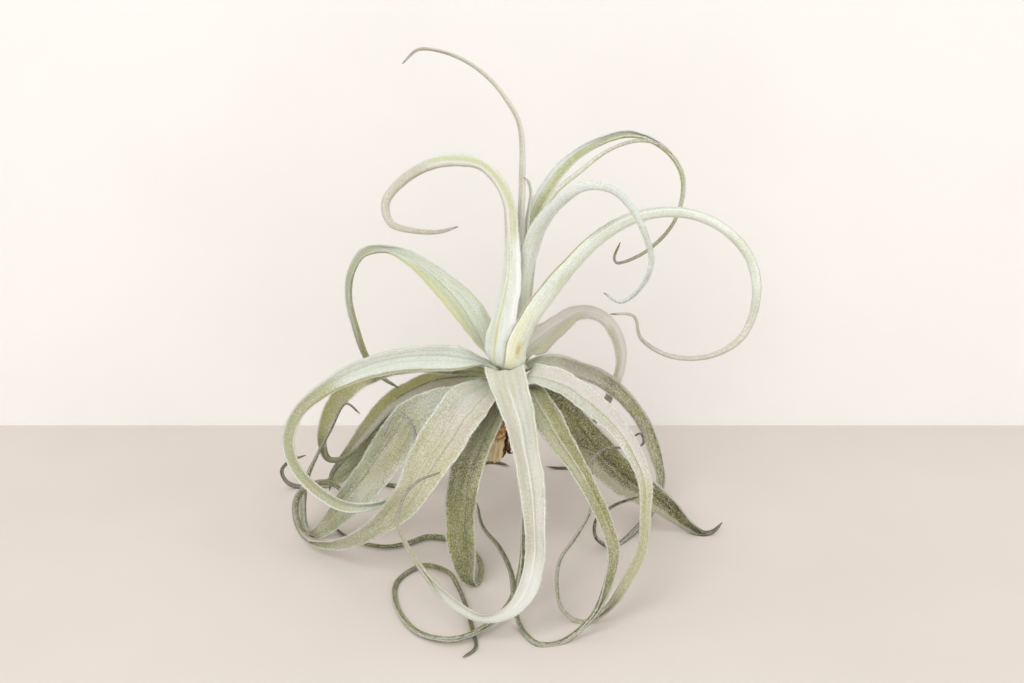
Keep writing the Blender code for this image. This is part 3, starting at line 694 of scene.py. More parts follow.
def growLeaf(name, leaf, number):
    own = {**bladeShape, **leaf}
    dice = np.random.default_rng(own["firstDraw"] + number)
    angle, height = leaf["seat"]
    seat = onStem(angle, height, own["clearance"] + own["seatSink"] * own["thickness"])
    path = smoothPath([(*seat, leaf["foot"])] + list(leaf["spine"]))
    outward = np.array((math.cos(math.radians(angle)), math.sin(math.radians(angle)), 0.0))
    tangents, ups = carriedFrames(path[:, :3], np.array((0.0, 0.0, 1.0)) - outward)
    distance = runningLength(path[:, :3])
    along = np.linspace(0, distance[-1], int(distance[-1] / own["step"]) + 2)
    share = along / along[-1]
    place = evenly(distance, path[:, :3], along)
    tangents = unit(evenly(distance, tangents, along))
    ups = unit(evenly(distance, ups, along))
    twist, turnedBy = own["twist"]
    turn = (math.radians(twist) * smoothStep(share / turnedBy))[:, None]
    ups = ups * np.cos(turn) + np.cross(tangents, ups) * np.sin(turn)
    sides = np.cross(tangents, ups)

    width = np.interp(along, distance, path[:, 3])
    width = width * (1 + own["rippleWidth"] * ripple(along, dice))
    tipTaper = np.clip((along[-1] - along) / own["tipLength"], 0, 1) ** 0.6
    width = np.maximum(width * tipTaper, own["leastWidth"])
    waves = [ripple(along, dice) for _ in range(3)]
    sections, acrossMm, crosswise, topSide = bladeSections(width, own, *waves)
    grid = place[:, None] + sides[:, None] * sections[:, :, :1] + ups[:, None] * sections[:, :, 1:]
    around = grid.shape[1]
    quads, caps = sectionFaces(len(along), around)

    fringe = growFringe(grid, tangents, width, acrossMm, along, dice)
    scales = growScales(grid, width, acrossMm, along, leaf["frost"], dice)
    roots, ways, lengths, girths, hairSpace, hairShare = [
        np.concatenate([a, b]) for a, b in zip(fringe, scales)]
    hairPoints, hairFaces = spikes(roots, ways, lengths, girths, dice)
    points = np.vstack([grid.reshape(-1, 3), hairPoints])
    points[:, 2] = np.maximum(points[:, 2], 0.0)

    shift = number * own["noiseShift"]  # no two leaves share a patch of the noise
    space = np.stack([acrossMm, along[:, None] + 0 * acrossMm,
                      topSide * own["sideShift"] + shift], axis=2)
    hairSpace = np.repeat(np.column_stack([hairSpace, np.full(len(roots), shift)]), 4, axis=0)
    attributes = {
        "leafSpace": np.vstack([space.reshape(-1, 3), hairSpace]),
        "topSide": np.concatenate([topSide.ravel(), np.ones(len(hairPoints))]),
        "crosswise": np.concatenate([crosswise.ravel(), np.ones(len(hairPoints))]),
        "share": np.concatenate([(share[:, None] + 0 * acrossMm).ravel(), np.repeat(hairShare, 4)]),
    }
    loose = caps + (hairFaces + len(grid) * around).tolist()
    materialIndex = [0] * (len(quads) + len(caps)) + [1] * len(hairFaces)
    return standIn(name, "_blade", toFrame(points), quads, loose,
                   [leafMaterial(name, leaf), frostHairs], materialIndex, attributes)


# seat: angle round the stem and height on it; foot: width at the stem; cup: depth of the channel
# twist: degrees turned, and the share of the length by which it has turned
# stripes: side, centre and half width across the blade, from and to along it, colour, strength
# spine: x, y, z and width in millimetres
leaves = {
    "leaf_top_whip": {
        "seat": (190, 84.5), "foot": 3.6, "cup": 0.16, "face": (184, 176, 146),
        "under": (180, 172, 140), "tail": (168, 150, 132), "frost": 0.42, "underFrost": 0.42,
        "blush": 0.3, "yellow": 0.15, "mint": 0,
        "stripes": (("both", -0.8, 0.35, 0, 0.9, (232, 234, 228), 0.55),
                    ("both", 0.3, 0.5, 0.1, 0.9, (184, 174, 150), 0.45)),
        "spine": ((2, 0, 92, 4), (3.2, 1.2, 104, 4.2), (4, 3, 118, 3.8), (5, 6, 140, 2.6),
                  (4, 11, 161, 2), (-1, 13, 170, 1.8), (-7, 14, 177, 1.6), (-15, 13, 183, 1.5),
                  (-24, 10, 187, 1.3), (-31, 6, 188, 1.1), (-36, 2, 184, 0.8))},
    "leaf_young_heart": {
        "seat": (75, 85), "foot": 2.4, "cup": 0.18, "face": (196, 202, 130),
        "under": (200, 206, 140), "tail": (170, 158, 112), "frost": 0.86, "underFrost": 0.86,
        "blush": 0.03, "mint": 0.1,
        "stripes": (("both", 0, 1.4, 0, 0.5, (218, 222, 186), 0.35),),
        "spine": ((4.2, 3.4, 96, 2.4), (6.2, 6, 117, 2), (7, 6, 129, 1.6), (8, 6, 137, 1.2),
                  (7, 5, 142, 1), (5.5, 4, 143.5, 0.8))},
    "leaf_top_left_curl": {
        "seat": (238, 75.6), "foot": 11, "cup": 0.22, "face": (196, 204, 146),
        "under": (196, 206, 144), "tail": (152, 142, 100), "frost": 0.86,
        "frostTint": (251, 251, 243), "underFrost": 0.92, "blush": 0.05, "cool": 0.3,
        "speckle": 0.32, "paleBase": 0.8, "vee": 0.3,
        "stripes": (("under", -0.8, 0.35, 0, 0.3, (253, 253, 250), 0.85),
                    ("under", 0.12, 0.11, 0.05, 0.3, (208, 200, 112), 0.6),
                    ("under", 0.5, 0.25, 0.1, 0.34, (206, 214, 186), 0.5),
                    ("both", -0.5, 0.5, 0.34, 0.6, (198, 200, 130), 0.65),
                    ("both", 0.05, 0.13, 0.34, 0.64, (246, 246, 234), 0.7),
                    ("both", 0.62, 0.36, 0.34, 0.64, (206, 184, 162), 0.75),
                    ("both", 0, 1.4, 0.66, 0.97, (180, 164, 140), 0.6)),
        "spine": ((-3.2, -5.8, 79, 13), (-3.2, -6.8, 86, 13), (-1.2, -6.6, 98, 9),
                  (1, -6, 111, 7), (1, -5, 124, 5.8), (0, -4, 136, 4.4), (-3, -3, 143, 4.2),
                  (-9, -1, 149, 4.2), (-17, 2, 150, 4.2), (-27, 5, 148, 4), (-37, 6, 142, 3.6),
                  (-43, 3, 135, 3), (-41, -3, 129, 2.6), (-33, -9, 128, 2.2),
                  (-24, -14, 129, 1.6), (-17, -18, 132, 0.9))},
    "leaf_high_right_arch": {
        "seat": (82, 80.5), "foot": 6, "cup": 0.18, "face": (166, 172, 92), "under": (168, 174, 96),
        "tail": (130, 120, 82), "frost": 0.5, "underFrost": 0.42, "blush": 0.05, "mint": 0.1,
        "speckle": 0.4,
        "stripes": (("both", -0.75, 0.4, 0.2, 0.62, (232, 238, 240), 0.8),
                    ("both", 0.5, 0.5, 0.1, 0.7, (166, 166, 84), 0.6)),
        "spine": ((5, 6.5, 97, 6.5), (6, 10, 115, 6), (9, 14, 127, 4.8), (14, 18, 136, 4.6),
                  (22, 22, 145, 4), (32, 25, 151, 3.2), (44, 26, 154, 2.7), (55, 25, 150, 2.4),
                  (62, 22, 142, 2), (63, 19, 134, 1.8), (59, 15, 123, 1.5), (49, 11, 114, 1.3),
                  (39, 8, 111, 1.1), (38, 7.5, 113, 1), (40, 7, 119, 0.8))},
    "leaf_high_right_inner": {
        "seat": (26, 83), "foot": 3.6, "cup": 0.18, "face": (186, 190, 124),
        "under": (184, 188, 122), "tail": (146, 136, 98), "frost": 0.74, "underFrost": 0.7,
        "blush": 0.05, "mint": 0.1,
        "stripes": (("both", 0, 1.4, 0, 0.2, (206, 212, 160), 0.5),),
        "spine": ((7, 3, 98, 3.8), (9, 6, 117, 3.2), (12.5, 8.5, 130, 2.6), (17, 10, 137, 2.1),
                  (25, 10, 144, 1.9), (35, 9, 152, 1.5), (45, 7, 156, 1.3), (53, 5, 155, 1),
                  (57, 4, 152, 0.8))},
    "leaf_mid_right_arch": {
        "seat": (-48, 80), "foot": 7, "cup": 0.18, "twist": (-40, 0.3), "face": (190, 194, 150),
        "under": (188, 192, 146), "tail": (150, 144, 120), "frost": 0.9,
        "frostTint": (246, 248, 242), "underFrost": 0.86, "blush": 0.15, "cool": 0.5,
        "speckle": 0.4, "vee": 0.3,
        "stripes": (("both", 0, 1.4, 0, 0.2, (238, 243, 228), 0.7),
                    ("both", -0.2, 0.12, 0.02, 0.4, (206, 210, 180), 0.5)),
        "spine": ((5, -2.2, 97, 6), (6.2, -2.8, 111, 5.4), (8, -4.4, 120, 5.6),
                  (11, -7, 129, 5.4), (17, -11, 138, 4.5), (26, -14, 145, 3.5),
                  (35, -17, 145, 3), (42, -19, 139, 2.6), (47, -20, 129, 2.2), (49, -20, 120, 2),
                  (46, -19, 111, 1.7), (39, -18, 105, 1.3), (33, -17, 108, 0.9))},
    "leaf_great_right_loop": {
        "seat": (-78, 75), "foot": 8, "cup": 0.2, "face": (186, 190, 122), "under": (190, 196, 130),
        "tail": (124, 116, 80), "frost": 0.76, "frostTint": (250, 250, 236), "underFrost": 0.84,
        "blush": 0.05, "speckle": 0.38, "paleBase": 0.8, "vee": 0.3,
        "stripes": (("under", -0.12, 0.4, 0.046, 0.066, (214, 196, 112), 0.6),
                    ("under", -0.1, 0.2, 0.051, 0.06, (176, 136, 66), 0.4),
                    ("under", 0.4, 0.4, 0.02, 0.1, (232, 228, 160), 0.5),
                    ("under", 0.95, 0.12, 0.04, 0.3, (140, 136, 54), 0.8),
                    ("both", 0.75, 0.3, 0.3, 0.66, (184, 184, 170), 0.65),
                    ("both", 0, 1.4, 0.66, 0.95, (176, 166, 146), 0.45)),
        "spine": ((2.4, -9.8, 79.6, 7.6), (3.2, -10.2, 86, 7.6), (7, -9.7, 94.6, 7),
                  (13.4, -8.1, 104, 6.8), (22, -5, 114, 6), (32, -1, 123, 5), (45, 4, 129, 4.2),
                  (61, 7, 130, 3.6), (75, 8, 125, 3.5), (86, 7, 114, 3.4), (89, 3, 101, 3.2),
                  (84, -4, 88, 2.6), (72, -12, 83, 2.1), (57, -18, 85, 1.8), (46, -22, 93, 1.4),
                  (43, -24, 102, 1.1), (35, -25, 103, 0.8))},
    "leaf_upper_left_arch": {
        "seat": (160, 75.4), "foot": 9, "cup": 0.26, "twist": (-62, 0.28), "face": (190, 200, 146),
        "under": (166, 166, 88), "tail": (128, 122, 80), "frost": 0.76,
        "frostTint": (246, 247, 236), "underFrost": 0.36, "blush": 0.05, "cool": 0.5,
        "speckle": 0.44, "vee": 1.1,
        "stripes": (("face", -0.55, 0.45, 0, 0.34, (196, 196, 132), 0.6),
                    ("face", -0.06, 0.1, 0, 0.4, (168, 174, 120), 0.5),
                    ("face", -0.93, 0.16, 0, 0.45, (216, 204, 100), 0.85),
                    ("face", 0.94, 0.1, 0.05, 0.3, (214, 216, 140), 0.5),
                    ("both", 0, 1.4, 0.52, 0.9, (150, 148, 84), 0.55)),
        "spine": ((-8, 3.6, 80.5, 9.9), (-12, 5.5, 88, 13.1), (-18, 9.5, 96, 10.1),
                  (-26, 14, 103, 7.4), (-36, 20, 109, 4.8), (-45, 25, 111, 2.9),
                  (-54, 29, 108, 3.7), (-59, 31, 99, 3.8), (-60, 32, 89, 3.7),
                  (-58, 32, 78, 3.3), (-54, 31, 66, 2.6), (-49, 30, 59, 1.8), (-42, 28, 55, 1))},
    "leaf_rear_right_arch": {
        "seat": (56, 75.5), "foot": 9, "cup": 0.22, "twist": (90, 0.15), "face": (164, 156, 128),
        "under": (132, 130, 68), "tail": (108, 102, 62), "frost": 0.62,
        "frostTint": (246, 244, 236), "underFrost": 0.26, "blush": 0.6, "speckle": 0.36, "vee": 0.9,
        "stripes": (("both", -0.4, 0.8, 0, 0.66, (242, 240, 232), 0.85),
                    ("both", 0.62, 0.4, 0, 0.3, (196, 194, 150), 0.6),
                    ("both", 0.1, 0.09, 0, 0.4, (196, 194, 168), 0.5),
                    ("both", 0.97, 0.07, 0.02, 0.3, (180, 146, 92), 0.6),
                    ("both", 0.3, 0.8, 0.5, 0.8, (172, 172, 116), 0.5)),
        "spine": ((6.2, 8.4, 78, 9.4), (11.6, 12, 81.2, 11.6), (18, 18, 84.3, 10.5),
                  (27, 27, 86, 5.6), (36, 34, 81, 4.4), (42, 38, 70, 5), (43, 39, 60, 4.6),
                  (40, 38, 50, 4), (35, 36, 40, 2.7), (28, 33, 33, 1.8), (20, 30, 30, 1))},
    "leaf_front_long": {
        "seat": (-92, 73.4), "foot": 13.4, "cup": 0.15, "face": (164, 162, 132),
        "under": (148, 144, 88), "tail": (132, 124, 96), "frost": 0.55,
        "frostTint": (236, 233, 222), "underFrost": 0.36, "blush": 0.15, "yellow": 0.12, "mint": 0,
        "cool": -0.12, "speckle": 0.46, "vee": 0.2, "ridge": 0.3,
        "stripes": (("face", 0.56, 0.32, 0.14, 0.5, (184, 178, 154), 0.45),
                    ("face", 0.06, 0.09, 0.1, 0.62, (238, 238, 230), 0.6),
                    ("face", -0.12, 0.1, 0.16, 0.5, (172, 168, 150), 0.5),
                    ("face", -0.55, 0.4, 0.05, 0.5, (214, 214, 204), 0.35),
                    ("face", 0, 1.4, 0.48, 0.7, (242, 242, 236), 0.65),
                    ("both", 0, 1.4, 0.74, 0.84, (224, 224, 190), 0.5)),
        "spine": ((-1.3, -9.2, 76.6, 14), (0.8, -17, 71.6, 13.2), (4, -28, 65, 10.5),
                  (6, -38, 58, 9.1), (8, -48, 50, 8.6), (9, -57, 39, 6.9), (9, -63, 29, 6.6),
                  (6, -68, 19, 6), (0, -71, 13, 4.1), (-9, -71, 11, 3.2), (-19, -69, 16, 3.2),
                  (-28, -67, 26, 2.4), (-35, -64, 37, 1.6), (-37, -62, 42, 1.2),
                  (-35, -58, 49, 1.1), (-31, -54, 53, 1), (-23, -50, 55, 0.8))},
    "leaf_left_great_curl": {
        "seat": (200, 72.5), "foot": 10, "cup": 0.28, "twist": (-70, 0.14), "face": (176, 178, 112),
        "under": (186, 182, 118), "tail": (112, 104, 80), "frost": 0.72, "underFrost": 0.6,
        "blush": 0.1, "cool": 0.6, "speckle": 0.5, "vee": 0.5,
        "stripes": (("under", 0, 1.4, 0, 0.1, (206, 208, 196), 0.6),
                    ("under", -0.5, 0.6, 0.12, 0.36, (168, 162, 78), 0.7),
                    ("face", 0, 1.4, 0.02, 0.28, (222, 227, 226), 0.35),
                    ("face", 0.3, 0.12, 0.02, 0.34, (176, 180, 168), 0.6),
                    ("face", -0.1, 0.1, 0.04, 0.34, (188, 192, 182), 0.5),
                    ("face", -0.88, 0.2, 0, 0.42, (146, 136, 60), 0.85),
                    ("face", 0, 1.4, 0.36, 0.64, (154, 152, 86), 0.7),
                    ("face", 0.2, 0.25, 0.56, 0.7, (190, 194, 170), 0.5),
                    ("face", 0.96, 0.08, 0.1, 0.7, (245, 245, 239), 0.9),
                    ("face", -0.95, 0.1, 0.45, 0.78, (243, 243, 237), 0.9)),
        "spine": ((-9.8, -2, 76.5, 8.2), (-17, -6, 79, 9.2), (-28, -10, 81, 8.8),
                  (-40, -13, 81, 8.4), (-53, -15, 78, 6.8), (-65, -17, 72, 5.1),
                  (-74, -18, 64, 4.2), (-78, -19, 54, 4.4), (-76, -20, 44, 4.4),
                  (-69, -22, 36, 4.4), (-58, -24, 30, 4), (-46, -24, 31, 3), (-37, -23, 37, 2.3),
                  (-33, -22, 49, 1.7), (-34, -21, 60, 1.4), (-38, -20, 64, 1.1),
                  (-42, -19, 61, 1), (-44, -18, 55, 0.8))},
    "leaf_right_front_drop": {
        "seat": (-30, 70.5), "foot": 10.5, "cup": 0.16, "twist": (28, 0.1), "face": (150, 144, 98),
        "under": (134, 128, 72), "tail": (92, 84, 66), "frost": 0.56, "frostTint": (242, 240, 232),
        "underFrost": 0.3, "blush": 0.35, "yellow": 0.12, "mint": 0, "cool": 0, "speckle": 0.44,
        "vee": 0.6,
        "stripes": (("face", -0.45, 0.6, 0, 0.26, (218, 210, 205), 0.65),
                    ("face", 0.1, 0.07, 0, 0.3, (124, 116, 94), 0.5),
                    ("face", 0.5, 0.5, 0, 0.2, (204, 204, 192), 0.5),
                    ("face", 0.35, 0.25, 0.2, 0.4, (176, 170, 118), 0.4),
                    ("both", 0, 1.4, 0.34, 0.56, (184, 180, 116), 0.6),
                    ("both", 0.1, 0.08, 0.25, 0.5, (138, 132, 92), 0.4)),
        "spine": ((6.6, -6, 73, 13), (12.6, -8.5, 73.5, 10.6), (21, -14.3, 72.3, 9.3),
                  (29, -22.3, 69, 8.5), (37, -30, 64, 7.2), (43, -37, 57, 5.8),
                  (47, -43, 48, 4.6), (47, -48, 39, 4), (46, -52, 28, 3.8), (41, -55, 17, 3.8),
                  (34, -56, 6, 2.8), (26, -55, 0.5, 1.8), (19, -53, 4, 1.4), (17, -49, 11, 1.4),
                  (18, -45, 19, 1.3), (24, -41, 27, 1.3), (29, -36, 35, 1.2), (29, -32, 44, 1.2),
                  (30, -27, 50, 1.1), (35, -23, 52, 1), (43, -20, 51, 1), (48, -19, 52, 1),
                  (47, -19, 56, 0.9), (44, -20, 55, 0.8))},
    "leaf_right_rear_drop": {
        "seat": (15, 73), "foot": 7.5, "cup": 0.18, "twist": (110, 0.15), "face": (120, 116, 62),
        "under": (92, 88, 40), "tail": (84, 76, 52), "frost": 0.36, "frostTint": (216, 214, 190),
        "underFrost": 0.2, "blush": 0.1, "mint": 0.1, "cool": 0.1, "speckle": 0.6, "vee": 0.3,
        "stripes": (("face", 0, 1.4, 0, 0.22, (196, 194, 180), 0.6),
                    ("face", 0.88, 0.2, 0, 0.4, (120, 96, 66), 0.6),
                    ("face", -0.9, 0.14, 0, 0.4, (226, 225, 214), 0.6)),
        "spine": ((8.6, 3.2, 73.4, 7.4), (15, 8, 71.8, 8), (25, 17, 66.8, 6.7),
                  (35, 26, 59.6, 6.3), (45, 34, 48, 5.6), (53, 39, 35, 5.4), (58, 40, 21, 5.1),
                  (60, 36, 13, 3.6), (56, 26, 5, 2.9), (48, 13, 1.5, 2.3), (39, 2, 0.7, 1.7),
                  (33, 1, 5, 1.5), (33, 2, 12, 1.4), (40, 4, 17, 1.3), (49, 5, 20, 0.9))},
    "leaf_front_left_broad": {
        "seat": (234, 68), "foot": 11, "cup": 0.16, "twist": (-30, 0.18), "face": (140, 136, 74),
        "under": (128, 124, 62), "tail": (108, 104, 58), "frost": 0.54,
        "frostTint": (232, 231, 218), "underFrost": 0.28, "blush": 0.4, "yellow": 0.35, "mint": 0.2,
        "cool": 0.1, "speckle": 0.46, "vee": 0.25, "ridge": 0.3,
        "stripes": (("face", -0.4, 0.8, 0.03, 0.2, (204, 190, 172), 0.45),
                    ("face", 0.3, 0.8, 0, 0.1, (204, 208, 200), 0.4),
                    ("face", 0, 1.4, 0.24, 0.4, (178, 174, 116), 0.4),
                    ("face", 0.15, 0.07, 0.05, 0.5, (212, 212, 194), 0.45),
                    ("face", -0.3, 0.06, 0.08, 0.5, (136, 130, 76), 0.4),
                    ("face", 0, 1.4, 0.4, 0.7, (150, 152, 94), 0.4)),
        "spine": ((-8, -10, 69.5, 12.6), (-13, -17, 68, 16.8), (-18, -24, 64, 16),
                  (-23, -29, 57.5, 15.7), (-29, -33, 49, 14.2), (-35, -34, 38, 11),
                  (-44, -30, 27, 7.6), (-55, -22, 16, 5), (-67, -9, 7, 3.6), (-76, -1, 6, 3),
                  (-80, 3, 13, 2.8), (-79, 7, 20, 2.5), (-72, 9, 24, 2.3), (-66, 8, 24, 2),
                  (-61, 6, 20, 1))},
    "leaf_front_right_floor": {
        "seat": (-58, 67), "foot": 9, "cup": 0.16, "twist": (22, 0.15), "face": (122, 118, 54),
        "under": (98, 96, 40), "tail": (88, 84, 58), "frost": 0.38, "frostTint": (212, 212, 178),
        "underFrost": 0.16, "blush": 0.2, "yellow": 0.2, "mint": 0, "cool": 0, "speckle": 0.64,
        "vee": 0.85,
        # the first stripe darkens the very base: partly the old leaf's own darker base, partly
        # painted shade where the base sits deep under the rosette
        "stripes": (("both", 0, 1.4, 0, 0.03, (60, 56, 22), 0.7),
                    ("face", 0.45, 0.5, 0.05, 0.3, (190, 192, 160), 0.55),
                    ("face", -0.1, 0.1, 0.04, 0.4, (216, 214, 190), 0.6),
                    ("face", -0.55, 0.4, 0.08, 0.3, (128, 124, 62), 0.45),
                    ("both", 0, 1.4, 0.3, 0.46, (122, 118, 46), 0.35)),
        "spine": ((7, -9, 69, 9.6), (11.5, -17, 64.5, 11.2), (17.5, -26, 57, 9.7),
                  (24, -35, 50, 7), (29, -42, 43, 5.7), (33, -48, 36, 5.1), (36, -54, 27, 4.4),
                  (34, -60, 18, 3.2), (29, -64, 8, 2.4), (20, -68, 1.2, 2.1),
                  (15, -70, 0.3, 2.1), (10, -70, 0.6, 2.1), (4, -59, 1.6, 1.8), (2, -54, 9, 1.9),
                  (1, -48, 16, 1.8), (-3, -43, 23, 1.7), (-9, -38, 29, 1.3), (-11, -34, 36, 0.9))},
    "leaf_left_fold": {
        "seat": (213, 64.5), "foot": 9, "cup": 0.14, "twist": (-50, 0.18), "face": (134, 134, 72),
        "under": (124, 124, 62), "tail": (80, 74, 54), "frost": 0.52, "underFrost": 0.3,
        "blush": 0.2, "yellow": 0.35, "mint": 0.35, "cool": 0.3, "speckle": 0.74, "vee": 0.3,
        "ridge": 0.26,
        "stripes": (("face", 0, 1.4, 0, 0.12, (210, 212, 202), 0.5),
                    ("face", 0.74, 0.4, 0.2, 0.5, (134, 142, 98), 0.55),
                    ("face", 0.36, 0.07, 0.2, 0.52, (100, 104, 50), 0.3),
                    ("face", -0.2, 0.5, 0.2, 0.36, (166, 164, 92), 0.4),
                    ("face", 0, 1.4, 0.5, 0.6, (146, 146, 66), 0.45),
                    ("face", -0.2, 0.4, 0.38, 0.5, (210, 212, 198), 0.45)),
        "spine": ((-10, -7, 66, 8.5), (-18, -11, 65.5, 10.5), (-28, -12, 63, 12),
                  (-35, -12, 58, 14), (-40, -9, 49, 14.6), (-46, -5, 39, 14.2),
                  (-53, -1, 28, 12.6), (-61, 4, 17, 9.6), (-69, 9, 6, 6.2), (-75, 12, 0.8, 3.6),
                  (-78, 14.5, 2, 3.2), (-79, 16, 11, 3.4), (-77, 16, 22, 2.1),
                  (-73, 15, 31.5, 1.4), (-67, 14, 43, 1.1), (-60.5, 13, 54.5, 0.9),
                  (-55.5, 13, 50.5, 0.8))},
    "leaf_left_rear_bend": {
        "seat": (176, 70), "foot": 8, "cup": 0.18, "twist": (-90, 0.2), "face": (146, 140, 60),
        "under": (138, 132, 54), "tail": (100, 92, 70), "frost": 0.4, "frostTint": (214, 212, 180),
        "underFrost": 0.4, "blush": 0.15, "yellow": 0.3, "mint": 0, "cool": 0.05, "speckle": 0.5,
        "vee": 0.5,
        "stripes": (("both", 0.35, 0.85, 0.04, 0.5, (180, 176, 92), 0.75),
                    ("both", -0.78, 0.36, 0.03, 0.42, (94, 82, 26), 0.85),
                    ("both", 0, 1.4, 0.54, 0.92, (148, 150, 98), 0.55)),
        "spine": ((-9, 1, 72.5, 7.2), (-18, 4, 73, 7.4), (-31, 8, 73, 7.4), (-44, 12, 70, 7.4),
                  (-56, 15, 63, 7.2), (-64, 18, 54, 6.4), (-69, 20, 44, 5), (-71, 21, 35, 3.6),
                  (-69, 22, 28, 2.6), (-64, 22, 28, 2), (-58, 22, 32, 1.5), (-54, 21, 37, 0.9))},
    "leaf_left_rear_olive": {
        "seat": (146, 68), "foot": 8, "cup": 0.18, "twist": (-75, 0.2), "face": (136, 140, 72),
        "under": (128, 132, 66), "tail": (84, 78, 50), "frost": 0.4, "frostTint": (216, 218, 188),
        "underFrost": 0.36, "blush": 0.15, "mint": 0.1, "speckle": 0.56, "vee": 0.5,
        "stripes": (("both", 0.55, 0.55, 0.06, 0.62, (180, 175, 90), 0.75),
                    ("both", -0.5, 0.5, 0.14, 0.74, (204, 194, 185), 0.75),
                    ("both", 0.02, 0.11, 0.06, 0.42, (92, 80, 26), 0.75),
                    ("both", -0.95, 0.1, 0.1, 0.9, (96, 98, 48), 0.5)),
        "spine": ((-9, 6, 68, 6.8), (-17, 11, 66, 8), (-27, 18, 62, 7.1), (-37, 25, 55, 7),
                  (-46, 31, 47, 7.4), (-55, 36, 35, 6.2), (-62, 41, 24, 4.6), (-67, 44, 17, 2.8),
                  (-71, 46, 10, 1.9), (-72, 47, 3, 1))},
    "leaf_front_down": {
        "seat": (250, 62), "foot": 8, "cup": 0.12, "face": (112, 112, 44), "under": (104, 104, 38),
        "tail": (78, 76, 48), "frost": 0.42, "frostTint": (218, 218, 186), "underFrost": 0.24,
        "blush": 0.1, "mint": 0.1, "cool": 0, "speckle": 0.7, "ridge": 0.26,
        # the first stripe darkens the very base: partly the old leaf's own darker base, partly
        # painted shade where the base sits deep under the rosette
        "stripes": (("both", 0, 1.4, 0, 0.02, (38, 34, 14), 0.85),
                    ("face", 0, 1.4, 0.24, 0.4, (98, 102, 28), 0.6),
                    ("face", 0, 1.4, 0.035, 0.12, (172, 170, 140), 0.45),
                    ("face", 0.3, 0.12, 0.06, 0.34, (150, 148, 112), 0.4),
                    ("face", -0.35, 0.1, 0.06, 0.34, (90, 88, 34), 0.45)),
        "spine": ((-4, -10, 63, 8.2), (-7, -15, 59, 9.6), (-11, -20, 53, 11),
                  (-14, -24, 46, 11.2), (-16, -27, 37, 11.2), (-17, -29, 26, 10.8),
                  (-16, -31, 14, 9.2), (-14.5, -30.5, 4, 4.8), (-12, -28, 0.6, 2.8),
                  (-10, -20, 0.8, 2.3), (-11, -9, 1.4, 1.9), (-17, 4, 1.3, 1.9),
                  (-24, 8, 1.3, 2.2), (-31, 9, 1.3, 2.1), (-38, 4, 1.2, 1.9), (-46, 1, 1.2, 1.6),
                  (-55, 4, 1.2, 1.4), (-63, 11, 1.1, 1.2), (-69, 22, 1, 0.8))},
    "leaf_right_floor_broad": {
        "seat": (-2, 65), "foot": 8.5, "cup": 0.12, "twist": (80, 0.15), "face": (90, 86, 22),
        "under": (94, 94, 32), "tail": (84, 80, 52), "frost": 0.24, "frostTint": (202, 200, 152),
        "underFrost": 0.2, "blush": 0.05, "yellow": 0.15, "mint": 0, "cool": 0, "speckle": 0.6,
        "ridge": 0.26,
        # the first stripe darkens the very base: partly the old leaf's own darker base, partly
        # painted shade where the base sits deep under the rosette
        "stripes": (("both", 0, 1.4, 0, 0.05, (54, 48, 12), 0.75),
                    ("face", 0.7, 0.4, 0.42, 0.95, (202, 198, 172), 0.6),
                    ("face", -0.15, 0.12, 0.3, 0.95, (66, 62, 20), 0.6),
                    ("face", -0.97, 0.07, 0.3, 0.9, (226, 225, 210), 0.7)),
        "spine": ((8, 0, 65, 8), (13, 0, 62, 9), (20, 2, 56, 10.4), (27, 5, 46, 12),
                  (35, 8, 35, 13.4), (44, 10, 25, 12.4), (53, 12, 18, 10), (62, 14, 10, 7.4),
                  (69, 15, 3, 4), (75, 13, 0.7, 2.4), (79, 14, 1.5, 1.6), (82, 14, 5, 0.9))},
    "leaf_left_floor_tail": {
        "seat": (148, 62), "foot": 8, "cup": 0.16, "twist": (-75, 0.2), "face": (108, 112, 52),
        "under": (100, 104, 44), "tail": (82, 78, 52), "frost": 0.34, "frostTint": (220, 220, 188),
        "underFrost": 0.26, "blush": 0.1, "mint": 0.3, "speckle": 0.6, "vee": 0.4,
        "stripes": (("both", 0, 1.4, 0.3, 0.72, (150, 162, 110), 0.6),
                    ("both", -0.2, 0.14, 0.3, 0.74, (96, 104, 56), 0.5)),
        "spine": ((-10, 5, 62, 7), (-17, 10, 59, 8.8), (-28, 18, 53, 9), (-38, 27, 44, 9.2),
                  (-48, 36, 33, 9.4), (-57, 44, 21, 9.8), (-65, 51, 10, 7.2), (-72, 56, 3, 3.6),
                  (-79, 57, 0.8, 2.4), (-85, 56, 0.5, 2.1), (-90, 55, 3, 1.8), (-92, 55, 8, 1.6),
                  (-89, 55, 12, 1.3), (-82, 55, 15, 0.9))},
    "leaf_front_floor_loop": {
        "seat": (-76, 56), "foot": 5.5, "cup": 0.2, "face": (92, 92, 40), "under": (90, 90, 40),
        "tail": (84, 84, 50), "frost": 0.14, "frostTint": (206, 204, 168), "underFrost": 0.18,
        "blush": 0.1, "mint": 0, "cool": 0, "speckle": 0.5, "vee": 0.4,
        "spine": ((3.5, -11, 57, 5.2), (4, -20, 53, 6), (5.5, -30, 46, 5.8), (6.5, -38, 38, 4.8),
                  (6, -45, 28, 3.8), (5, -48, 18, 3), (1, -52, 7, 2.5), (-7, -62, 3.2, 2.3),
                  (-18, -70, 2.4, 2.2), (-30, -64, 1.2, 2.1), (-39, -45, 0.5, 2.1),
                  (-40, -25, 0.6, 2), (-31, -14, 1.2, 1.9), (-22, -20, 1.6, 1.8),
                  (-18.5, -30, 1.8, 1.7), (-15, -45, 1.8, 1.6), (-12, -62, 0.8, 1.5),
                  (-11, -73, 0.7, 1.3), (-15, -79, 0.7, 0.8))},
    "leaf_back_right": {
        "seat": (66, 59), "foot": 8, "cup": 0.18, "face": (108, 110, 52), "under": (100, 102, 44),
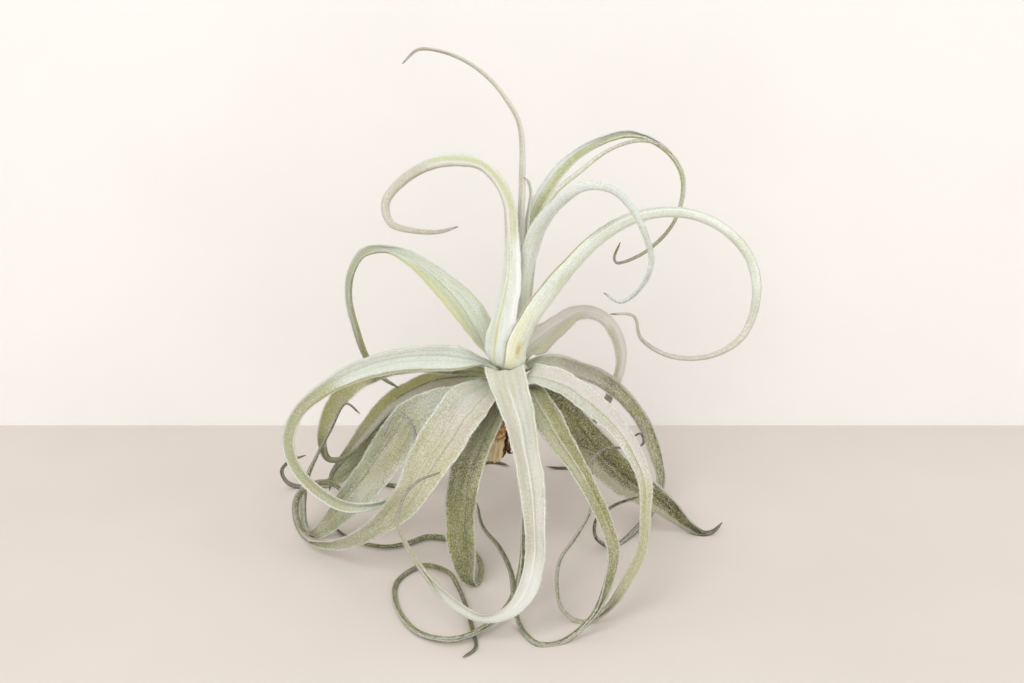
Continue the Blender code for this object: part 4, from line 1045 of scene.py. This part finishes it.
        "tail": (82, 78, 52), "frost": 0.3, "underFrost": 0.24, "blush": 0.15, "mint": 0.15,
        "speckle": 0.56, "vee": 0.4,
        "spine": ((4, 9, 60, 7), (9, 22, 56, 7.6), (15, 38, 47, 7.4), (21, 54, 33, 6.6),
                  (26, 66, 17, 5), (30, 74.5, 5, 3.2), (27.5, 75, 0.7, 2), (22, 74.5, 0.6, 1.2),
                  (19, 74.6, 0.7, 1), (15.8, 75, 1, 0.5))},
    "leaf_back_left": {
        "seat": (112, 58), "foot": 8, "cup": 0.18, "face": (108, 110, 52), "under": (100, 102, 44),
        "tail": (82, 78, 52), "frost": 0.3, "underFrost": 0.24, "blush": 0.15, "mint": 0.15,
        "speckle": 0.56, "vee": 0.4,
        "spine": ((-5, 9, 59, 7), (-12, 24, 54, 7.6), (-18, 41, 43, 7.4), (-25, 56, 28, 6.4),
                  (-31, 66, 12, 4.6), (-34, 69, 2, 3), (-35, 62, 0.6, 2.3), (-41, 56, 0.7, 2),
                  (-50, 58, 1, 1.7), (-53, 67, 2, 1.4), (-47, 74, 6, 1.1), (-40, 73, 9, 0.8))},
    "leaf_back_middle": {
        "seat": (88, 63), "foot": 8, "cup": 0.18, "face": (116, 118, 60), "under": (106, 108, 50),
        "tail": (82, 78, 52), "frost": 0.34, "underFrost": 0.28, "blush": 0.15, "mint": 0.15,
        "speckle": 0.56, "vee": 0.4,
        "spine": ((-1, 9, 65, 7.4), (-2, 25, 62, 8), (-3, 43, 53, 7.6), (-5, 60, 36, 6.4),
                  (-8, 71, 17, 4.8), (-12, 76, 4, 3.2), (-12, 78, 0.6, 2.2),
                  (-8.5, 80.5, 0.6, 1.5), (-3, 79, 0.7, 1.2), (0.2, 75.8, 0.9, 0.5))},
    "leaf_back_high": {
        "seat": (104, 70), "foot": 9, "cup": 0.2, "face": (150, 152, 92), "under": (138, 138, 74),
        "tail": (100, 94, 66), "frost": 0.5, "underFrost": 0.34, "blush": 0.15, "mint": 0.2,
        "speckle": 0.5, "vee": 0.5,
        "spine": ((-2, 9, 72.5, 9), (-3, 18, 75, 9), (-3, 30, 73, 8), (-1, 42, 65, 6.6),
                  (2, 50, 52, 5.2), (4, 54, 38, 4), (5, 52, 26, 3), (6, 45, 19, 2.2),
                  (4, 40, 19, 1.6), (3, 37, 24, 0.9))},
}


# stem
stemDetail = {
    "around": 96, "rowStep": 0.3, "scarDepth": 0.34, "scarWidth": 2.3, "scarHeight": 0.8,
    "scarTurn": 137.5, "scarRise": 1.15, "scarsFrom": 40.5, "scarReach": 24, "fibreDepth": 0.16,
    "cutDish": 0.5, "reliefStrength": 0.7, "reliefMm": 0.25, "greenFrom": 60.0, "greenTo": 67.0,
    "green": (178, 186, 122), "greenPale": (214, 220, 176), "bark": (104, 78, 44),
    "barkDark": (58, 40, 24), "barkPale": (158, 126, 80), "cut": (196, 160, 108),
    "cutDark": (120, 82, 46),
    # patterns in the bark: waves round the stem, millimetres up it
    "fibres": (9, 6), "flakes": (3, 1.6),
}


def noiseGrid(a, b, c):
    # smooth noise, about -1 to 1; the three may be numbers or arrays that stretch to one shape
    flat = np.broadcast_arrays(a, b, c)
    places = zip(*[part.ravel().tolist() for part in flat])
    return np.array([noise.noise(Vector(place)) for place in places]).reshape(flat[0].shape) * 1.6


def growStem():
    profile = np.array(stem["profile"])
    run = runningLength(profile)
    rows = np.linspace(0, run[-1], int(run[-1] / stemDetail["rowStep"]))
    radius = np.maximum(np.interp(rows, run, profile[:, 0]), 0.02)[:, None]
    height = np.interp(rows, run, profile[:, 1])[:, None]
    around = stemDetail["around"]
    turn = (np.arange(around) * 2 * math.pi / around)[None, :]
    onCut = height <= stem["cutAt"] + 0.001
    onSide = smoothStep((height - stem["cutAt"]) / 1.2) * smoothStep((radius - 1.0) / 2.0)

    # scars of fallen leaves, in a spiral up the side
    lift = np.zeros((len(rows), around))
    for k in range(int(stemDetail["scarReach"] / stemDetail["scarRise"])):
        scarTurn = math.radians(stemDetail["scarTurn"]) * k
        scarTop = stemDetail["scarsFrom"] + stemDetail["scarRise"] * k
        away = (turn - scarTurn + math.pi) % (2 * math.pi) - math.pi
        below = (height - scarTop + 0.12 * (away * radius) ** 2) / stemDetail["scarHeight"]
        shelf = np.where(below > 0, np.exp(-(below * 2.4) ** 2), np.exp(-(below * 0.8) ** 2))
        lift = np.maximum(lift, shelf * np.exp(-(away * radius / stemDetail["scarWidth"]) ** 4))

    def bark(waves, rise):
        return noiseGrid(np.cos(turn) * waves, np.sin(turn) * waves, height / rise)

    fibre, flake = bark(*stemDetail["fibres"]), bark(*stemDetail["flakes"])
    grain = (fibre + 0.6 * flake) * stemDetail["fibreDepth"]
    out = (lift * stemDetail["scarDepth"] + grain) * onSide
    cutFace = onCut * (0.5 - smoothStep((radius - 0.4) / 2.8)) * stemDetail["cutDish"]
    wide = radius + out
    high = height + cutFace + 0.1 * fibre * onCut
    own = np.stack([wide * np.cos(turn), wide * np.sin(turn), high], axis=2)
    quads = tubeFaces(len(rows), around)
    caps = [list(range(around)), list(range((len(rows) - 1) * around, len(rows) * around))[::-1]]
    everywhere = 0 * turn
    attributes = {
        "stemSpace": np.stack([np.cos(turn) * radius, np.sin(turn) * radius, height + everywhere],
                              axis=2).reshape(-1, 3),
        "stemLift": (lift + 0.35 * fibre).ravel(), "stemHeight": (height + everywhere).ravel(),
        "stemCut": (onCut + everywhere).ravel(),
    }
    return standIn("stem", "_bark", toFrame(onAxis(own).reshape(-1, 3)), quads, caps,
                   [stemMaterial()], [0] * (len(quads) + 2), attributes)


def stemMaterial():
    material, tree, shader = newMaterial("stemBark")
    place = readAttribute(tree, "stemSpace", "Vector")
    fibres = noiseAt(tree, place, (0.35, 0.35, 3.2), detail=3.0)
    flakes = noiseAt(tree, place, (1.1, 1.1, 0.8), detail=4.0, roughness=0.6)
    colour = mixColour(tree, easeBetween(tree, flakes, 0.36, 0.62), srgb(stemDetail["barkDark"]),
                       srgb(stemDetail["bark"]))
    pale = easeBetween(tree, fibres, 0.5, 0.7, 0.0, 0.8)
    colour = paintOver(tree, colour, pale, stemDetail["barkPale"])
    ledge = easeBetween(tree, readAttribute(tree, "stemLift"), 0.5, 1.1, 0.0, 0.7)
    colour = paintOver(tree, colour, ledge, stemDetail["barkPale"])
    green = mixColour(tree, easeBetween(tree, fibres, 0.35, 0.65), srgb(stemDetail["green"]),
                      srgb(stemDetail["greenPale"]))
    young = easeBetween(tree, readAttribute(tree, "stemHeight"), stemDetail["greenFrom"],
                        stemDetail["greenTo"])
    colour = mixColour(tree, young, colour, green)
    rings = easeBetween(tree, noiseAt(tree, place, (0.5, 0.5, 9.0), detail=3.0), 0.4, 0.62)
    cutColour = mixColour(tree, rings, srgb(stemDetail["cutDark"]), srgb(stemDetail["cut"]))
    colour = mixColour(tree, readAttribute(tree, "stemCut"), colour, cutColour)
    finishShader(tree, shader, colour, easeBetween(tree, flakes, 0.3, 0.7, 0.95, 0.75), 0.2)
    addRelief(tree, shader, weighed(tree, fibres, 0.6, flakes, 0.4), stemDetail["reliefStrength"],
              stemDetail["reliefMm"])
    return material


# dried sheaths, the papery remains of the oldest leaves
sheathShape = {
    "columns": 84, "rows": 56, "out": 0.35, "leastOut": 0.12, "flare": 0.9, "rag": 1.3,
    "thickness": 0.42, "thinTo": 0.16, "crumple": 0.42, "pleat": 0.2, "tear": 1.5, "topRag": 0.9,
    "lipCurl": 1.0, "creaseDepth": 0.3, "creaseHeight": 0.035, "notch": 2.4, "sideRag": 7,
    "stemGirth": 5.2, "shredPoints": 14, "shredCurl": 3.4, "shredThickness": (0.09, 0.05),
    "paperPale": (240, 220, 180), "reliefStrength": 0.6, "reliefMm": 0.2,
}
# shreds: place across, length and width of the torn strips that hang from the lower edge
sheaths = {
    "dried_sheath_left": {
        "angle": 238, "spread": 128, "top": 55, "bottom": 38.7, "crease": 0.42,
        "paper": (255, 238, 192), "burnt": (190, 112, 50), "dark": (104, 62, 30), "burntTo": 0.38,
        "spots": 0.2, "notch": 0.4,
        "shreds": ((0.62, 1.4, 1.2), (0.2, 1.8, 0.9))},
    "dried_sheath_right": {
        "angle": 346, "spread": 82, "top": 53, "bottom": 44, "crease": 0.4, "paper": (150, 104, 62),
        "burnt": (96, 56, 30), "dark": (44, 26, 18), "burntTo": 0.8, "spots": 0.6,
        "shreds": ((0.05, 3.6, 1.8), (0.12, 4.4, 2.0), (0.3, 3.0, 1.1), (0.62, 2.6, 1.2))},
    "dried_sheath_back": {
        "angle": 100, "spread": 132, "top": 54, "bottom": 42, "crease": 0.45,
        "paper": (206, 172, 122), "burnt": (150, 92, 46), "dark": (58, 36, 22), "burntTo": 0.6,
        "spots": 0.35,
        "shreds": ((0.3, 2.4, 1.1), (0.78, 2.0, 0.9))},
}


def sheathMaterial(name, sheath):
    material, tree, shader = newMaterial(name + "Paper")
    place = readAttribute(tree, "sheathSpace", "Vector")
    fibres = noiseAt(tree, place, (0.32, 4.5, 1.0), detail=3.0)
    clouds = noiseAt(tree, place, (2.2, 2.4, 1.0), detail=4.0, roughness=0.6)
    burntShare = calc(tree, "ADD", readAttribute(tree, "down"), swing(tree, clouds, 1.1))
    burntTo = sheath["burntTo"]
    burnt = easeBetween(tree, burntShare, burntTo - 0.22, burntTo + 0.1, 1.0, 0.0)
    colour = mixColour(tree, burnt, srgb(sheath["paper"]), srgb(sheath["burnt"]))
    spotFrom = 0.74 - 0.16 * sheath["spots"]
    spot = noiseAt(tree, place, (0.9, 1.1, 1.0), detail=2.0)
    for value, low, high, toLow, toHigh, paint in (
            (fibres, 0.45, 0.7, 0.0, 0.45, sheath["burnt"]),
            (fibres, 0.3, 0.46, 0.4, 0.0, sheathShape["paperPale"]),
            (readAttribute(tree, "crease"), 0.2, 1.0, 0.0, 0.55, sheath["dark"]),
            (spot, spotFrom, spotFrom + 0.05, 0.0, 0.9, sheath["dark"]),
            (readAttribute(tree, "rim"), 0.4, 1.0, 0.0, 0.6, sheath["dark"])):
        colour = paintOver(tree, colour, easeBetween(tree, value, low, high, toLow, toHigh), paint)
    finishShader(tree, shader, colour, easeBetween(tree, clouds, 0.3, 0.7, 0.85, 0.6), 0.3)
    addRelief(tree, shader, weighed(tree, fibres, 0.5, clouds, 0.5), sheathShape["reliefStrength"],
              sheathShape["reliefMm"])
    return material


def growShred(outer, inner, columns, shred, bends):
    # a torn strip that curls away from the lower edge: its points, its faces and how it bends
    place, length, width = shred
    column = int(place * (columns - 1))
    root = (outer[-2, column] + inner[-2, column]) / 2
    outward = unit(outer[-4, column] - inner[-4, column])
    downward = unit(outer[-1, column] - outer[-6, column])
    sidewise = np.cross(outward, downward)
    count = sheathShape["shredPoints"]
    bend = np.linspace(0, 1, count)[:, None]
    curl = bend * sheathShape["shredCurl"] * bends
    steps = (downward * np.cos(curl[1:]) + outward * np.sin(curl[1:])) * length / count
    path = root + np.cumsum(np.vstack([[0, 0, 0], steps]), axis=0)
    facing = outward * np.cos(curl) - downward * np.sin(curl)
    right = sidewise * (width / 2 * (1 - 0.75 * bend ** 1.5))
    thick, thin = sheathShape["shredThickness"]
    strip = np.stack([path - right + facing * thick, path + right + facing * thin,
                      path + right - facing * thick, path - right - facing * thin], axis=1)
    base = np.arange(count - 1)[:, None] * 4
    quads = [np.hstack([base + k, base + (k + 1) % 4, base + 4 + (k + 1) % 4, base + 4 + k])
             for k in range(4)]
    last = 4 * count
    quads.append(np.array([[0, 3, 2, 1], [last - 4, last - 3, last - 2, last - 1]]))
    return strip.reshape(-1, 3), quads, bend


def growSheath(name, sheath, number):
    shape = {**sheathShape, **sheath}
    columns, rows = shape["columns"], shape["rows"]
    s = np.linspace(0, 1, columns)[None, :]  # across the sheath
    d = np.linspace(0, 1, rows)[:, None]  # down it
    seed = 13.0 * number + 3.7

    # the ragged lower and upper edges
    lobes = np.arange(9)
    fold = np.interp(s[0] * 8, lobes, shape["rag"] * np.sin(5.1 * lobes + sheath["angle"]))
    tear = noiseGrid(s * 17, seed, 0)[0]
    notch = smoothStep((noiseGrid(s * 7, seed, 4.0)[0] - 0.25) / 0.4) * shape["notch"]
    bottom = sheath["bottom"] + fold + shape["tear"] * 0.5 * tear + notch
    top = sheath["top"] + shape["topRag"] * noiseGrid(s * 11, seed, 9.0)[0]
    height = top[None, :] + (bottom - top)[None, :] * d
    sideways = smoothStep((np.abs(s - 0.5) - 0.38) / 0.12) * noiseGrid(d * 5, seed, 1.0)
    angle = sheath["angle"] + sheath["spread"] * (s - 0.5)
    angle = angle - np.sign(s - 0.5) * np.abs(sideways) * shape["sideRag"]

    # how far the paper stands off the stem
    arc = np.radians(angle) * shape["stemGirth"]
    crumple = noiseGrid(arc / 2.4, height / 3.0, seed) + 0.5 * noiseGrid(arc, height / 1.6, seed)
    pleats = noiseGrid(arc / 0.8, height / 9.0, seed + 5)
    creaseAt = sheath["crease"] + 0.05 * noiseGrid(arc / 2.0, 0, seed)
    crease = np.exp(-((d - creaseAt) / shape["creaseHeight"]) ** 2)
    lip = smoothStep((d - 0.72) / 0.28) * np.abs(noiseGrid(arc / 2.0, seed, 7))
    out = (shape["out"] + shape["flare"] * d ** 2 + shape["crumple"] * (crumple * 0.5 + 0.35) +
           shape["pleat"] * pleats - shape["creaseDepth"] * crease + shape["lipCurl"] * lip)
    out = np.maximum(out, shape["leastOut"])
    border = np.minimum(np.minimum(s, 1 - s) * 8, np.minimum(d, 1 - d) * 8)
    thick = shape["thinTo"] + (shape["thickness"] - shape["thinTo"]) * np.clip(border, 0, 1)
    inner = onStem(angle, height, out)
    outer = onStem(angle, height, out + thick)

    # outer face, inner face and the edge that joins them
    points = [outer.reshape(-1, 3), inner.reshape(-1, 3)]
    i, j = np.meshgrid(np.arange(rows - 1), np.arange(columns - 1), indexing="ij")
    a = (i * columns + j).ravel()
    quads = [np.stack([a, a + columns, a + columns + 1, a + 1], axis=1)]
    under = rows * columns
    quads.append(quads[0][:, ::-1] + under)
    ring = np.concatenate([np.arange(columns - 1), np.arange(rows - 1) * columns + columns - 1,
                           rows * columns - 1 - np.arange(columns - 1),
                           np.arange(rows - 1, 0, -1) * columns])
    after = np.roll(ring, -1)
    quads.append(np.stack([ring, after, after + under, ring + under], axis=1))
    rim = np.clip(1 - border * 2.2, 0, 1)
    space = np.stack([arc, height, seed + 0 * arc], axis=2)
    values = {"sheathSpace": [space.reshape(-1, 3)] * 2, "down": [(d + 0 * s).ravel()] * 2,
              "crease": [crease.ravel()] * 2, "rim": [rim.ravel()] * 2}

    total = 2 * under
    for shred in sheath["shreds"]:
        strip, faces, bend = growShred(outer, inner, columns, shred, 1 if number % 2 else 0.8)
        points.append(strip)
        quads += [face + total for face in faces]
        total += len(strip)
        place, length, _ = shred
        values["sheathSpace"].append(np.repeat(np.hstack([bend * 2 + place * 40, 44 - bend * length,
                                                          0 * bend + seed]), 4, axis=0))
        values["down"].append(np.full(len(strip), 0.5))
        values["crease"].append(np.zeros(len(strip)))
        values["rim"].append(np.repeat(0.75 + 0.25 * bend[:, 0], 4))
    quads = np.vstack(quads)
    attributes = {label: np.concatenate(parts) for label, parts in values.items()}
    return standIn(name, "_paper", toFrame(np.vstack(points)), quads, [],
                   [sheathMaterial(name, sheath)], [0] * len(quads), attributes)


# floor and wall
def plainMaterial(name, colour):
    material, tree, shader = newMaterial(name)
    where = addNode(tree, "ShaderNodeTexCoord").outputs["Object"]
    cloud = noiseAt(tree, where, (0.09, 0.09, 0.09), detail=4.0)
    darker = srgb([c - studio["paintSwing"] for c in colour])
    soft = mixColour(tree, easeBetween(tree, cloud, 0.3, 0.7, 0.0, 0.35), srgb(colour), darker)
    tree.links.new(soft, shader.inputs["Base Color"])
    shader.inputs["Roughness"].default_value = 0.9
    shader.inputs["Specular IOR Level"].default_value = 0.1
    return material


def clearFromBehind(material):
    # the wall shows only its front, so the plant can be looked at from the back too
    tree = material.node_tree
    side = addNode(tree, "ShaderNodeNewGeometry").outputs["Backfacing"]
    front = tree.nodes["Principled BSDF"].outputs[0]
    clear = addNode(tree, "ShaderNodeBsdfTransparent").outputs[0]
    mixed = addNode(tree, "ShaderNodeMixShader", {0: side, 1: front, 2: clear}).outputs[0]
    tree.links.new(mixed, tree.nodes["Material Output"].inputs["Surface"])


def makeStage():
    wide, wallY, high = studio["reach"], studio["wallY"], studio["wallHeight"]
    front = studio["floorFront"]
    floor = [(-wide, front, 0), (wide, front, 0), (wide, wide, 0), (-wide, wide, 0)]
    wall = [(-wide, wallY, 0), (wide, wallY, 0), (wide, wallY, high), (-wide, wallY, high)]
    for name, points, colour in (("studioFloor", floor, studio["floorColour"]),
                                 ("studioWall", wall, studio["wallColour"])):
        mesh = bpy.data.meshes.new(name)
        mesh.from_pydata(points, [], [(0, 1, 2, 3)])
        paint = plainMaterial(name + "Paint", colour)
        if points is wall:
            clearFromBehind(paint)
        mesh.materials.append(paint)
        obj = bpy.data.objects.new(name, mesh)
        bpy.context.scene.collection.objects.link(obj)


placeCamera()
lightStudio()
makeStage()
print("studio ready")

frostCoat = makeFrostGroup()
lengthwiseVeins = makeVeinGroup()
blushClouds = makeBlushGroup()
leafStripe = makeStripeGroup()
frostHairs = hairMaterial()
groundShift = findShift()
print("frame origin from the stem, in mm:", np.round(groundShift * 1000, 3))

pieces = [growLeaf(name, leaf, number) for number, (name, leaf) in enumerate(leaves.items())]
print("leaves:", len(pieces))
pieces.append(growStem())
print("stem ready")
for number, (name, sheath) in enumerate(sheaths.items()):
    pieces.append(growSheath(name, sheath, number))
print("sheaths:", len(sheaths))
triangles = [sum(len(face.vertices) - 2 for face in piece.data.polygons) for piece in pieces]
print("pieces:", len(pieces), "most triangles:", max(triangles), "in all:", sum(triangles))
